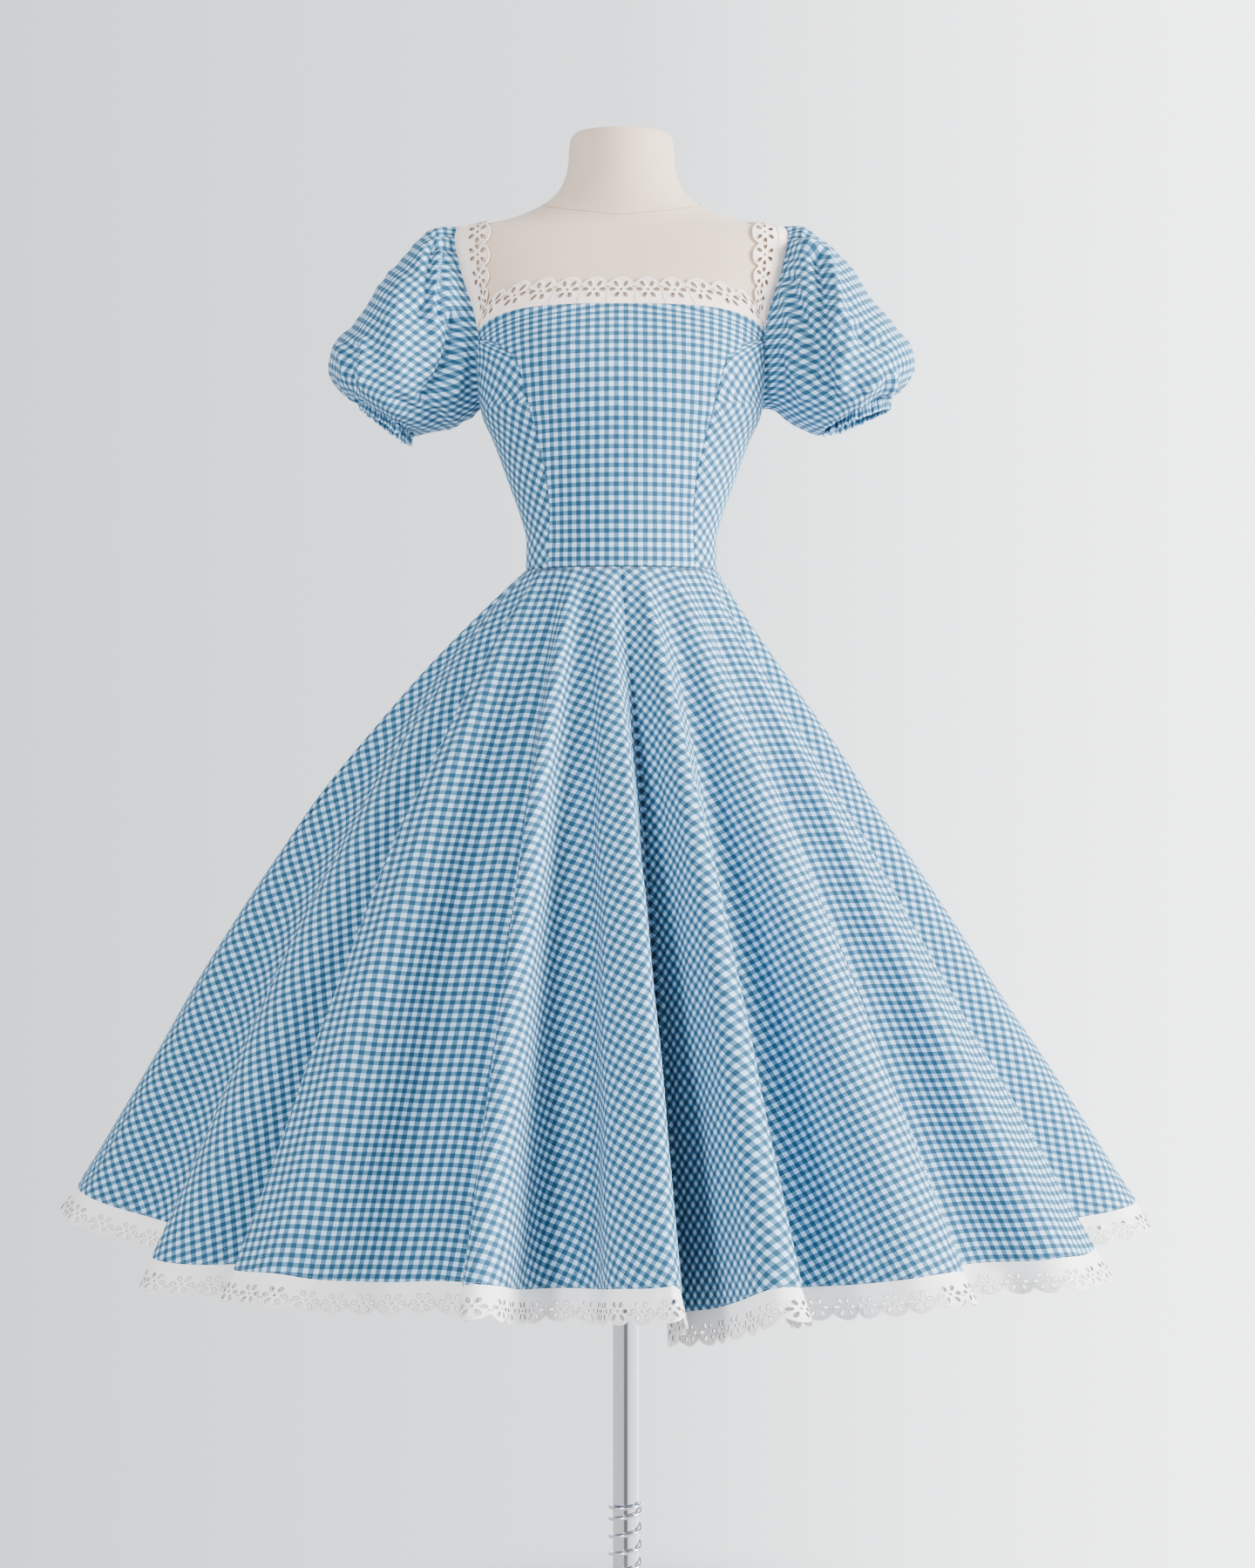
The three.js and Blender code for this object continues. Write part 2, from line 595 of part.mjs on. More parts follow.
function strapOuter(along, side) {
  const turn = mitreTurn + along * 2 * (Math.PI - mitreTurn);
  return armholePoint(turn, side);
}

function makeNeckEdging() {
  const neckStrip = (name, column, from, to) => {
    const columns = Math.round(NECK_SCALLOPS * (to - from));
    const onFace = (angle, z) => formPoint(column === 'front' ? angle : Math.PI - angle, z);
    strip(name, columns, 2, (i, up) => {
      const across = THREE.MathUtils.lerp(from, to, i / columns);
      const low = onFace(across * armholeAngle(NECK_CORNER_Z, column), neckHeight(across) + LACE_LIFT);
      const middleTop = NECK_CENTRE_Z + LACE_HEIGHT;
      const topZ = THREE.MathUtils.lerp(middleTop, LACE_CORNER_Z, Math.abs(across) ** CORNER_DROP_POWER);
      const scalloped = topZ + scallop(i) * (1 - Math.abs(across) ** SCALLOP_FADE_POWER);
      const high = onFace(across * angleAtWidth(STRAP_INNER_X, topZ), scalloped);
      return low.lerp(high, up);
    }, EASE);
  };
  neckStrip('neck_lace_front', 'front', -1 + MITRE_SHARE, 1 - MITRE_SHARE);
  neckStrip('neck_lace_back_left', 'back', -1 + MITRE_SHARE, -MITRE_SHARE);
  neckStrip('neck_lace_back_right', 'back', MITRE_SHARE, 1 - MITRE_SHARE);
  for (const side of [-1, 1]) {
    const word = side < 0 ? 'left' : 'right';
    const columns = STRAP_SCALLOPS * 2;
    const along = (i) => THREE.MathUtils.lerp(MITRE_SHARE, 1 - MITRE_SHARE, i / columns);
    const between = (i, share) => strapInner(along(i), side).lerp(strapOuter(along(i), side), share);
    strip(`strap_lace_${word}`, columns, 2, (i, across) => {
      const ends = i === 0 || i === columns ? 0 : 1;
      const point = between(i, across * STRAP_LACE_SHARE);
      point.x -= side * scallop(i) * ends * (1 - across);
      return point;
    }, STRAP_EASE);
    strip(`strap_band_${word}`, columns, 2, (i, across) => {
      const from = STRAP_LACE_SHARE + STRAP_SEAM_GAP / STRAP_WIDTH;
      return between(i, THREE.MathUtils.lerp(from, STRAP_EDGE_SHARE, across));
    }, STRAP_EASE);
  }
}

// Sleeves

function makeSleeve(word, side, rows) {
  const ringTurn = (i) => (2 * Math.PI * i) / SLEEVE_COLUMNS;
  const armhole = range(SLEEVE_COLUMNS).map((i) => {
    const point = armholePoint(ringTurn(i), side);
    const outward = formGradient(point).normalize();
    point.addScaledVector(outward, EASE + CLOTH);
    point.x += side * SLEEVE_OFF_BODICE;
    return point;
  });
  const rings = rows.map((row) =>
    range(SLEEVE_COLUMNS).map((i) => {
      const turn = ringTurn(i);
      const under = new THREE.Vector3(row.underX, 0, row.underZ);
      const out = new THREE.Vector3(row.outX, 0, row.outZ);
      const middle = under.clone().add(out).multiplyScalar(0.5);
      const half = out.clone().sub(middle);
      const swell = row.gather * (i % 2 === 0 ? 1 : -1);
      const grow = 1 + swell / half.length();
      const point = middle.addScaledVector(half, -Math.cos(turn) * grow);
      point.y = -(row.depth + swell) * Math.sin(turn);
      return point;
    }));
  const outer = [armhole, ...rings];
  const inner = outer.map((ring, row) => {
    const ahead = outer[Math.min(row + 1, outer.length - 1)];
    const behind = outer[Math.max(row - 1, 0)];
    return ring.map((point, i) => {
      const round = ring[(i + 1) % ring.length].clone().sub(ring.at(i - 1));
      const along = ahead[i].clone().sub(behind[i]);
      const normal = new THREE.Vector3().crossVectors(round, along).normalize();
      const away = point.clone().sub(middleOf(ring));
      if (normal.dot(away) < 0) normal.negate();
      return point.clone().addScaledVector(normal, -SLEEVE_CLOTH);
    });
  });
  addMesh(`sleeve_${word}`, wall(outer, inner, true), GINGHAM, worn);
}

// Skirt

// Hem of the skirt seen from above, from a fold phase where each crest is a whole number
function hemPlan(phase) {
  const count = FOLDS.length;
  const base = Math.floor(phase);
  const share = phase - base;
  const fold = FOLDS[((base % count) + count) % count];
  const next = FOLDS[(((base + 1) % count) + count) % count];
  const turnBefore = 360 * Math.floor(base / count);
  const turnAfter = 360 * Math.floor((base + 1) / count);
  const rising = share > 0.5;
  const t = rising ? 2 * share - 1 : 2 * share;
  const fromAt = rising ? fold.valleyAt + turnBefore : fold.crestAt + turnBefore;
  const toAt = rising ? next.crestAt + turnAfter : fold.valleyAt + turnBefore;
  const ease = (1 - Math.cos(Math.PI * t)) / 2;
  const roundness = (FOLD_ROUNDNESS * Math.sin(2 * Math.PI * t)) / (2 * Math.PI);
  const angle = radians(THREE.MathUtils.lerp(fromAt, toAt, t + roundness));
  const radius = rising
    ? THREE.MathUtils.lerp(fold.valley, next.crest, ease)
    : THREE.MathUtils.lerp(fold.crest, fold.valley, ease);
  const valley = rising ? 1 - ease : ease;
  const crestLift = rising ? next.lift : fold.lift;
  const lift = THREE.MathUtils.lerp(crestLift, fold.valleyLift, valley);
  return { angle, radius, valley, lift };
}

const waistPoint = (angle) =>
  new THREE.Vector3(
    WAIST_HALF * Math.sin(angle),
    -(Math.cos(angle) >= 0 ? WAIST_FRONT : WAIST_BACK) * Math.cos(angle),
    WAIST_Z - SEAM_GAP,
  );

// Bottom of the edging at a fold phase, hanging from a waist point by the skirt's length
function hemPoint(phase, waist) {
  const { angle, radius, valley, lift } = hemPlan(phase);
  const point = new THREE.Vector3(radius * Math.sin(angle) - FORM_X, -radius * Math.cos(angle), 0);
  const reach = Math.hypot(point.x - waist.x, point.y - waist.y);
  const length = SKIRT_LENGTH - VALLEY_SHORTENING * valley;
  point.z = waist.z - Math.sqrt(length * length - reach * reach) + lift;
  return point;
}

// Fold phase for a share of the skirt's cut, from the length of the hem between centre front and there
const hemLengths = (() => {
  const steps = FOLDS.length * HEM_SAMPLES_PER_FOLD;
  const start = CENTRE_FRONT_FOLD - 0.5;
  const lengths = [0];
  let before;
  for (let i = 0; i <= steps; i += 1) {
    const phase = start + i / HEM_SAMPLES_PER_FOLD;
    const point = hemPoint(phase, waistPoint(hemPlan(phase).angle));
    if (before) lengths.push(lengths.at(-1) + point.distanceTo(before));
    before = point;
  }
  return lengths;
})();

function phaseAt(share) {
  const total = hemLengths.at(-1);
  const wanted = (((share % 1) + 1) % 1) * total;
  let i = 0;
  while (hemLengths[i + 1] < wanted) i += 1;
  const part = (wanted - hemLengths[i]) / (hemLengths[i + 1] - hemLengths[i]);
  return CENTRE_FRONT_FOLD - 0.5 + (i + part) / HEM_SAMPLES_PER_FOLD;
}

// Point of the skirt: share of the way round the cut from centre front, share of the way down
function skirtPoint(share, down) {
  const waist = waistPoint(2 * Math.PI * share);
  const hem = hemPoint(phaseAt(share), waist);
  const outward = new THREE.Vector3(hem.x - waist.x, hem.y - waist.y, 0).normalize();
  const fullness = BULGE - BULGE_LEAN * outward.x;
  const bulge = fullness * down ** BULGE_NEAR_POWER * (1 - down) ** BULGE_FAR_POWER;
  return waist.lerp(hem, down).addScaledVector(outward, bulge);
}

function skirtNormal(share, down) {
  const low = Math.max(0, down - NORMAL_STEP_DOWN);
  const high = Math.min(1, down + NORMAL_STEP_DOWN);
  const after = skirtPoint(share + NORMAL_STEP_ROUND, down);
  const round = after.sub(skirtPoint(share - NORMAL_STEP_ROUND, down));
  const along = skirtPoint(share, high).sub(skirtPoint(share, low));
  return new THREE.Vector3().crossVectors(along, round).normalize();
}

// Wall of the skirt between two shares of the cut. The edging's columns are half as wide as the
// skirt's, so its middle top points are put on the skirt's straight steps.
function skirtWall(name, from, to, columns, rows, material, shape = (i, down) => down) {
  const outer = [];
  const inner = [];
  for (const down of rows) {
    const round = THREE.MathUtils.lerp(WAIST_ROUND, hemLengths.at(-1), down);
    const gap = SEAM_GAP / round;
    const line = range(columns + 1).map((i) => {
      const share = THREE.MathUtils.lerp(from + gap, to - gap, i / columns);
      const at = shape(i, down);
      const point = skirtPoint(share, at);
      return [point, point.clone().addScaledVector(skirtNormal(share, at), -SKIRT_CLOTH)];
    });
    outer.push(line.map((pair) => pair[0]));
    inner.push(line.map((pair) => pair[1]));
  }
  if (columns > GORE_SCALLOPS) {
    for (const [top] of [outer, inner]) {
      for (let i = 1; i < columns; i += 2) top[i].lerpVectors(top[i - 1], top[i + 1], 0.5);
    }
  }
  addMesh(name, wall(outer, inner), material, worn);
}

function makeSkirt() {
  const gores = [
    { name: 'front_left', from: -0.25, to: 0 },
    { name: 'front_right', from: 0, to: 0.25 },
    { name: 'back_right', from: 0.25, to: 0.5 },
    { name: 'back_left', from: 0.5, to: 0.75 },
  ];
  const laceTop = BLUE_SHARE + HEM_LACE_GAP / SKIRT_LENGTH;
  const scallopShare = SCALLOP_DEPTH / SKIRT_LENGTH;
  for (const { name, from, to } of gores) {
    skirtWall(`skirt_${name}`, from, to, GORE_SCALLOPS, SKIRT_ROWS, GINGHAM);
    const edge = (i, down) => (down === 1 && i % 2 === 0 ? 1 - scallopShare : down);
    skirtWall(`hem_lace_${name}`, from, to, 2 * GORE_SCALLOPS, [laceTop, 1], EYELET, edge);
  }
}

// Zip slider and its pull tab

const wasm = await Module();
wasm.setup();

function toSolid(geometry) {
  const bare = geometry.clone();
  bare.deleteAttribute('normal');
  bare.deleteAttribute('uv');
  const merged = mergeVertices(bare);
  return new wasm.Manifold(new wasm.Mesh({
    numProp: 3,
    vertProperties: new Float32Array(merged.attributes.position.array),
    triVerts: new Uint32Array(merged.index.array),
  }));
}

function fromSolid(solid) {
  const mesh = solid.getMesh();
  const geometry = new THREE.BufferGeometry();
  geometry.setAttribute('position', new THREE.BufferAttribute(new Float32Array(mesh.vertProperties), 3));
  geometry.setIndex(Array.from(mesh.triVerts));
  return geometry;
}

// Rectangle with its middle at a place, drawn as an outline or as a hole
function rectangle(path, width, low, high) {
  path.moveTo(-width / 2, low);
  path.lineTo(width / 2, low);
  path.lineTo(width / 2, high);
  path.lineTo(-width / 2, high);
  path.closePath();
  return path;
}

function makeZip() {
  const zip = new THREE.Group();
  zip.position.set(0, formSize('back', ZIP_Z) + EASE + CLOTH + SLIDER_CLEARANCE, ZIP_Z);
  worn.add(zip);
  const body = new THREE.BoxGeometry(SLIDER_WIDTH, SLIDER_THICKNESS, SLIDER_LENGTH);
  body.translate(0, SLIDER_THICKNESS / 2, 0);
  const side = rectangle(new THREE.Shape(), ARCH_LENGTH, -ARCH_WIRE, ARCH_REACH);
  side.holes.push(rectangle(new THREE.Path(), ARCH_LENGTH - 2 * ARCH_WIRE, 0, ARCH_REACH - ARCH_WIRE));
  const arch = new THREE.ExtrudeGeometry(side, { depth: ARCH_WIDTH, bevelEnabled: false });
  arch.translate(0, SLIDER_THICKNESS, -ARCH_WIDTH / 2);
  arch.rotateY(Math.PI / 2);
  addMesh('zip_slider', fromSolid(toSolid(body).add(toSolid(arch))), NICKEL, zip);

  const plate = rectangle(new THREE.Shape(), TAB_WIDTH, TAB_BAR / 2 - TAB_LENGTH, TAB_BAR / 2);
  const slotTop = -TAB_BAR / 2;
  plate.holes.push(rectangle(new THREE.Path(), TAB_SLOT_WIDTH, slotTop - TAB_SLOT_LENGTH, slotTop));
  const tab = new THREE.ExtrudeGeometry(plate, { depth: TAB_THICKNESS, bevelEnabled: false });
  tab.translate(0, 0, -TAB_THICKNESS / 2);
  tab.rotateX(Math.PI / 2);
  const tabMesh = addMesh('zip_pull', tab, NICKEL, zip);
  tabMesh.position.y = SLIDER_THICKNESS + TAB_BAR_REACH;
}

makeForm();
makeStand();
makeBodice();
makeNeckEdging();
makeSleeve('left', -1, LEFT_SLEEVE);
makeSleeve('right', 1, RIGHT_SLEEVE);
makeSkirt();
makeZip();

export default dress;
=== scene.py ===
"""Gingham summer dress on its dress form: the finished pieces, and the studio round them.

Points are worked out in millimetres and become metres when a mesh is made. The worn pieces are
drawn round the middle of the dress form, which stands a little to the left of the pole.
"""
import math

import bmesh
import bpy
import numpy as np
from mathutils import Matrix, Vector
from mathutils.geometry import delaunay_2d_cdt


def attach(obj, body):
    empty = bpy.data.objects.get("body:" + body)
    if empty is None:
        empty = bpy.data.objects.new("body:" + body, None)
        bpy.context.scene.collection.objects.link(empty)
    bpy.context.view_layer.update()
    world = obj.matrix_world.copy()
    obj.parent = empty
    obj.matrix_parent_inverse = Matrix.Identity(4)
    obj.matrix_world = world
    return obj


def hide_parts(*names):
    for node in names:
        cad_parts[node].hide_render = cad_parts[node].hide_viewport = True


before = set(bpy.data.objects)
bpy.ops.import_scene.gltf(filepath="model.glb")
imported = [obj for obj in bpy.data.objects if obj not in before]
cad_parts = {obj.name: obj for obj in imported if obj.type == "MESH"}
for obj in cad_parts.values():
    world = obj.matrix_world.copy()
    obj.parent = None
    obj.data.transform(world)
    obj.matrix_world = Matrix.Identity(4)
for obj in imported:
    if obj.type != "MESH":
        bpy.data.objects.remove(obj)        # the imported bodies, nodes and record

bl_info = {
    "name": "Gingham Summer Dress",
    "version": (1, 0, 0),
    "blender": (4, 5, 0),
    "location": "View3D > Sidebar > Dress",
    "description": "Makes a gingham dress with eyelet edging on a dress form, and a plain studio",
    "category": "Add Mesh",
}

MM = 0.001
DRESS_BODY = "dress_on_form"
TAB_BODY = "zip_pull_tab"
GINGHAM = "woven gingham cotton"
FORM_X = -5.0
WAIST_Z = 1272.0


def srgb(hex_colour):
    """Turn a hex colour, as seen on a screen, into linear red, green and blue."""
    parts = [int(hex_colour[i:i + 2], 16) / 255 for i in (0, 2, 4)]
    return tuple(p / 12.92 if p <= 0.04045 else ((p + 0.055) / 1.055) ** 2.4 for p in parts)


# Tables, with the columns named first

def table(columns, rows):
    """Name the columns of a table."""
    return dict(zip(columns.split(), np.array(rows, float).T))


# Sections of the dress form, each a super-ellipse
FORM = table("z half front back power", (
    (1040, 120, 95, 100, 2.2), (1060, 140, 108, 114, 2.2), (1100, 150, 112, 120, 2.2),
    (1160, 140, 106, 114, 2.15), (1220, 119, 93, 97, 2.1), (1272, 106, 83, 86, 2.0),
    (1306, 105.5, 89, 84, 2.0), (1335, 112.5, 97, 85, 2.0), (1370, 125, 107, 89, 2.05),
    (1423, 144.5, 122, 95, 2.15), (1449, 156, 130, 98, 2.25), (1487, 163, 133, 101, 2.35),
    (1515, 165, 125, 102, 2.38), (1541, 167, 109, 102, 2.4), (1570, 174, 89, 100, 2.5),
    (1600, 182, 77, 94, 2.6), (1630, 187, 69, 83, 2.5), (1650, 189, 62, 72, 2.3),
    (1660, 187, 59, 65, 2.0), (1667, 165, 57, 62, 1.75), (1677, 124, 58, 61, 1.65),
    (1687, 99, 60, 62, 1.7), (1697, 82, 61, 62, 1.9), (1712, 69, 60, 60, 2.0),
    (1732, 62, 57, 57, 2.0), (1766, 58.5, 55, 55, 2.0), (1772, 54, 51, 51, 2.0),
))

# Half width of the front panel at the seam between front and side front
PRINCESS_SEAM = table("z half", (
    (1272, 81), (1335, 79), (1379, 84), (1423, 94), (1464, 105), (1499, 115), (1516, 131),
    (1530, 152),
))
NECK_CORNER_Z = 1541.0
NECK_CENTRE_Z = 1565.0
NECK_DROP_POWER = 2.6
ARMHOLE_Z = 1560.0
ARMHOLE_HALF_HEIGHT = 103.0
ARMHOLE_HALF_WIDTH = 58.0
ARMHOLE_TAPER = 0.66
BODICE_LIFT = 3.6          # outside of the bodice over the form
STRAP_LIFT = 3.0
STITCH_LIFT = 0.1
TUCK_REACH = 3.0           # how far from a seam a panel starts to turn in

# Edging
LACE_CORNER_Z = 1570.0
LACE_HEIGHT = 28.0
STRAP_INNER_X = 150.0
STRAP_LACE_SHARE = 0.64
NECK_REPEATS = 11
STRAP_REPEATS = 10
HEM_REPEATS = 50           # in each gore
EDGING_ALLOWANCE = 3.0     # of the edging, under the cloth that it is sewn to

# Sleeves: each row joins the outer line to the underarm line
SLEEVE_COLUMNS = "out_x out_z under_x under_z depth"
LEFT_SLEEVE = table(SLEEVE_COLUMNS, (
    (-216, 1664, -173, 1447, 64), (-247, 1634, -188, 1438, 80), (-278, 1598, -204, 1434, 90),
    (-305, 1556, -218, 1431, 95), (-329, 1530, -228, 1429, 94), (-335, 1503, -236, 1428, 85),
    (-325, 1480, -240, 1427, 68), (-300, 1467, -240, 1427, 47), (-299, 1457, -242, 1416, 53),
))
RIGHT_SLEEVE = table(SLEEVE_COLUMNS, (
    (209, 1665, 177, 1455, 64), (236, 1647, 189, 1446, 80), (264, 1617, 200, 1438, 90),
    (289, 1580, 210, 1433, 95), (316, 1550, 218, 1430, 94), (335, 1519, 225, 1428, 86),
    (330, 1490, 230, 1429, 70), (306, 1471, 234, 1438, 47), (308, 1457, 232, 1427, 53),
))
# Folds of the sleeves' fronts: height out of the cloth, half width, and points (x, z)
LEFT_SLEEVE_FOLDS = (
    (-17, 8, ((-186, 1552), (-188, 1530), (-192, 1508), (-203, 1484), (-218, 1463))),
    (7, 8, ((-181, 1540), (-182, 1500), (-190, 1470))),
    (-8, 6, ((-214, 1640), (-217, 1600), (-218, 1572), (-226, 1556))),
    (6, 5, ((-206, 1632), (-208, 1600), (-212, 1560), (-209, 1530))),
    (-9, 5, ((-199, 1626), (-202, 1590), (-204, 1556))),
    (-5, 4, ((-216, 1655), (-196, 1654))),
    (-6, 4, ((-214, 1637), (-192, 1636))),
    (5, 6, ((-288, 1524), (-290, 1498), (-293, 1480))),
    (-6, 6, ((-301, 1520), (-304, 1498), (-300, 1474))),
    (5, 5, ((-318, 1522), (-312, 1490))),
    (-5, 7, ((-252, 1458), (-232, 1448), (-206, 1446))),
    (4, 12, ((-250, 1590), (-256, 1540), (-250, 1500))),
)
RIGHT_SLEEVE_FOLDS = (
    (9, 7, ((211, 1639), (232, 1628), (237, 1601), (243, 1571), (246, 1551))),
    (9, 9, ((239, 1562), (237, 1535), (243, 1500), (246, 1473))),
    (-10, 8, ((222, 1625), (226, 1590), (229, 1550), (228, 1510), (236, 1470))),
    (10, 8, ((257, 1544), (253, 1508))),
    (-8, 7, ((262, 1536), (278, 1520), (291, 1521))),
    (7, 8, ((184, 1587), (193, 1551), (207, 1514))),
    (7, 7, ((185, 1519), (198, 1491), (206, 1466))),
    (-9, 7, ((190, 1600), (198, 1560), (212, 1530), (218, 1490))),
    (-5, 4, ((190, 1652), (212, 1653))),
    (6, 5, ((288, 1482), (276, 1470))),
    (6, 5, ((306, 1488), (302, 1468))),
)

# Skirt: a full circle hung from the waist. Each fold of the hem is seen from above, in degrees
# from the front towards +X, with its distance from the pole.
SKIRT_LENGTH = 911.0       # from the waist to the bottom of the edging, at a crest
VALLEY_SHORTENING = 46.0
BLUE_SHARE = 0.9585
WAIST_HALF = 110.0
WAIST_FRONT = 87.0
WAIST_BACK = 89.0
FLAT_WAIST_RADIUS = 99.0
FLAT_HEM_RADIUS = 1014.0
BULGE = 144.0
BULGE_LEAN = 118.0
BULGE_TOP_POWER = 0.97
BULGE_LOW_POWER = 1.55
FOLD_ROUNDNESS = 0.6
CENTRE_FRONT_PHASE = 4.5
HEM_SAMPLES = 1361
FOLDS = table("crest_at crest valley_at valley lift valley_lift", (
    (-90, 646, -70, 518, 8, 0), (-61, 585, -50, 473, 0, 4), (-44, 585, -20, 458, 8, 6),
    (-14.5, 604, -8.5, 473, 0, 0), (4.5, 604, 7, 448, 0, -18), (15, 606, 22.5, 458, -6, 0),
    (34, 578, 48, 473, 12, 0), (62, 580, 75, 503, 4, 0), (90, 606, 100, 473, 8, 0),
    (111, 600, 121, 458, 0, -10), (131, 592, 141, 463, 6, 0), (151, 604, 162, 453, 0, 4),
    (172, 600, 182, 458, 5, -12), (192, 606, 202, 463, 0, 0), (212, 598, 222, 453, 6, -6),
    (232, 608, 242, 468, 0, 0), (251, 622, 261, 498, 5, 0),
))
GORES = (
    ("front_left", -0.25), ("front_right", 0.0), ("back_right", 0.25), ("back_left", 0.5),
)

# Zip at the centre back
ZIP_Z = 1540.0
ZIP_CLEARANCE = 0.4
SOLID_EASE = 2.2           # between the form and the inside of the bodice's solids
SOLID_CLOTH = 1.5          # thickness of the bodice's solids
SLIDER_THICKNESS = 2.4
TAB_BAR_REACH = 1.25

# Stand
HUB_TOP_Z = 44.0
SPRING_TOP_Z = 205.0
SPRING_WIRE = 2.0
SPRING_RADIUS = 18.4
SPRING_TURNS = 9
SPRING_CLOSE_PITCH = 8.0


# What a user would change

class ClothSettings(bpy.types.PropertyGroup):
    """Gingham of the dress."""

    check: bpy.props.FloatProperty(
        name="Check", description="Side of one check", default=0.0053, unit="LENGTH")
    thickness: bpy.props.FloatProperty(
        name="Thickness", description="Thickness of the cloth", default=0.0009, unit="LENGTH")
    dark: bpy.props.FloatVectorProperty(
        name="Dark", description="Where two blue stripes cross", subtype="COLOR",
        default=srgb("234962"))
    middle: bpy.props.FloatVectorProperty(
        name="Middle", description="Where a blue stripe crosses a white one", subtype="COLOR",
        default=srgb("406f90"))
    light: bpy.props.FloatVectorProperty(
        name="Light", description="Where two white stripes cross", subtype="COLOR",
        default=srgb("b2d9f8"))


class EdgingSettings(bpy.types.PropertyGroup):
    """Eyelet edging."""

    thickness: bpy.props.FloatProperty(
        name="Thickness", description="Thickness of the cotton", default=0.0011, unit="LENGTH")
    rim: bpy.props.FloatProperty(
        name="Rim", description="Width of the satin stitch round a hole", default=0.0011,
        unit="LENGTH")
    colour: bpy.props.FloatVectorProperty(
        name="Hem cotton", description="Colour of the hem's edging", subtype="COLOR",
        default=srgb("fcf8f7"))
    cream: bpy.props.FloatVectorProperty(
        name="Neck cotton", description="Colour of the neck's and straps' edging",
        subtype="COLOR", default=srgb("f8e4d6"))


class StandSettings(bpy.types.PropertyGroup):
    """Dress form and stand."""

    cover: bpy.props.FloatVectorProperty(
        name="Cover", description="Colour of the form's knitted cover", subtype="COLOR",
        default=srgb("d2baa4"))
    chrome: bpy.props.FloatVectorProperty(
        name="Chrome", description="Colour of the plated pole", subtype="COLOR",
        default=srgb("d6d8da"))
    base: bpy.props.FloatVectorProperty(
        name="Base", description="Colour of the enamelled base", subtype="COLOR",
        default=srgb("dbd9d4"))


class StudioSettings(bpy.types.PropertyGroup):
    """Camera, light and floor."""

    distance: bpy.props.FloatProperty(
        name="Camera distance", description="From the camera to the pole", default=3.5,
        unit="LENGTH")
    eye_height: bpy.props.FloatProperty(
        name="Camera height", description="Camera over the floor", default=1.077,
        unit="LENGTH")
    key: bpy.props.FloatProperty(
        name="Key light", description="Power of the large soft light", default=900.0,
        unit="POWER")
    surround: bpy.props.FloatProperty(
        name="Surround", description="Brightness of the pale surround", default=1.0)


SETTINGS = {
    "dress_cloth": ClothSettings,
    "dress_edging": EdgingSettings,
    "dress_stand": StandSettings,
    "dress_studio": StudioSettings,
}


# Curves and surfaces

def read_table(at, xs, ys):
    """Smooth curve through a table's rows that never overshoots them."""
    slope = np.diff(ys) / np.diff(xs)
    both = slope[:-1] + slope[1:]
    product = slope[:-1] * slope[1:]
    middle = np.where(product > 0, 2 * product / np.where(both == 0, 1, both), 0)
    tangent = np.concatenate(([slope[0]], middle, [slope[-1]]))
    clamped = np.clip(at, xs[0], xs[-1])
    i = np.clip(np.searchsorted(xs, clamped) - 1, 0, len(xs) - 2)
    span = xs[i + 1] - xs[i]
    t = (clamped - xs[i]) / span
    u = 1 - t
    steps = ys[i] * u * u * (1 + 2 * t) + ys[i + 1] * t * t * (1 + 2 * u)
    return steps + span * t * u * (u * tangent[i] - t * tangent[i + 1])


def lerp(a, b, t):
    """Go from a to b by the share t."""
    return a + (b - a) * t


def full_turn(count):
    """Angles all round, without the last, which would be the first again."""
    return np.linspace(0, 2 * np.pi, count, endpoint=False)


def length_shares(points):
    """Share of a line's length up to each of its points, and the whole length."""
    steps = np.linalg.norm(np.diff(points, axis=0), axis=1)
    lengths = np.concatenate(([0], np.cumsum(steps)))
    return lengths / lengths[-1], lengths[-1]


def bump(distance, width):
    """Rounded ridge, one high in its middle."""
    return np.exp(-(distance / width) ** 2)


def unit(vectors):
    """Scale vectors to length one."""
    return vectors / np.maximum(np.linalg.norm(vectors, axis=-1, keepdims=True), 1e-9)


def signed_power(value, power):
    """Power that keeps the sign."""
    return np.sign(value) * np.abs(value) ** power


def form_size(column, z):
    """Size of the form at a height."""
    return read_table(z, FORM["z"], FORM[column])


def form_point(angle, z):
    """Point of the form at a height, at an angle from the front towards +X."""
    angle, z = np.broadcast_arrays(angle, z)
    depth = np.where(np.cos(angle) >= 0, form_size("front", z), form_size("back", z))
    power = 2 / form_size("power", z)
    x = form_size("half", z) * signed_power(np.sin(angle), power)
    y = -depth * signed_power(np.cos(angle), power)
    return np.stack([x, y, z], -1)


def form_field(points):
    """Below zero inside the form, above zero outside it."""
    x, y, z = points[..., 0], points[..., 1], points[..., 2]
    depth = np.where(y <= 0, form_size("front", z), form_size("back", z))
    power = form_size("power", z)
    sides = np.abs(x / form_size("half", z)) ** power + np.abs(y / depth) ** power
    return sides ** (1 / power) - 1


def form_gradient(points):
    """Slope of the form's field."""
    step = 0.5
    parts = []
    for axis in np.eye(3):
        parts.append(form_field(points + axis * step) - form_field(points - axis * step))
    return np.stack(parts, -1) / (2 * step)


def lift_from_form(points, offset):
    """Move points onto the form's surface and then out from it."""
    moved = np.array(points, float)
    for _ in range(6):
        gradient = form_gradient(moved)
        reach = form_field(moved) / np.maximum((gradient ** 2).sum(-1), 1e-12)
        moved = moved - gradient * reach[..., None]
    return moved + unit(form_gradient(moved)) * np.asarray(offset)[..., None]


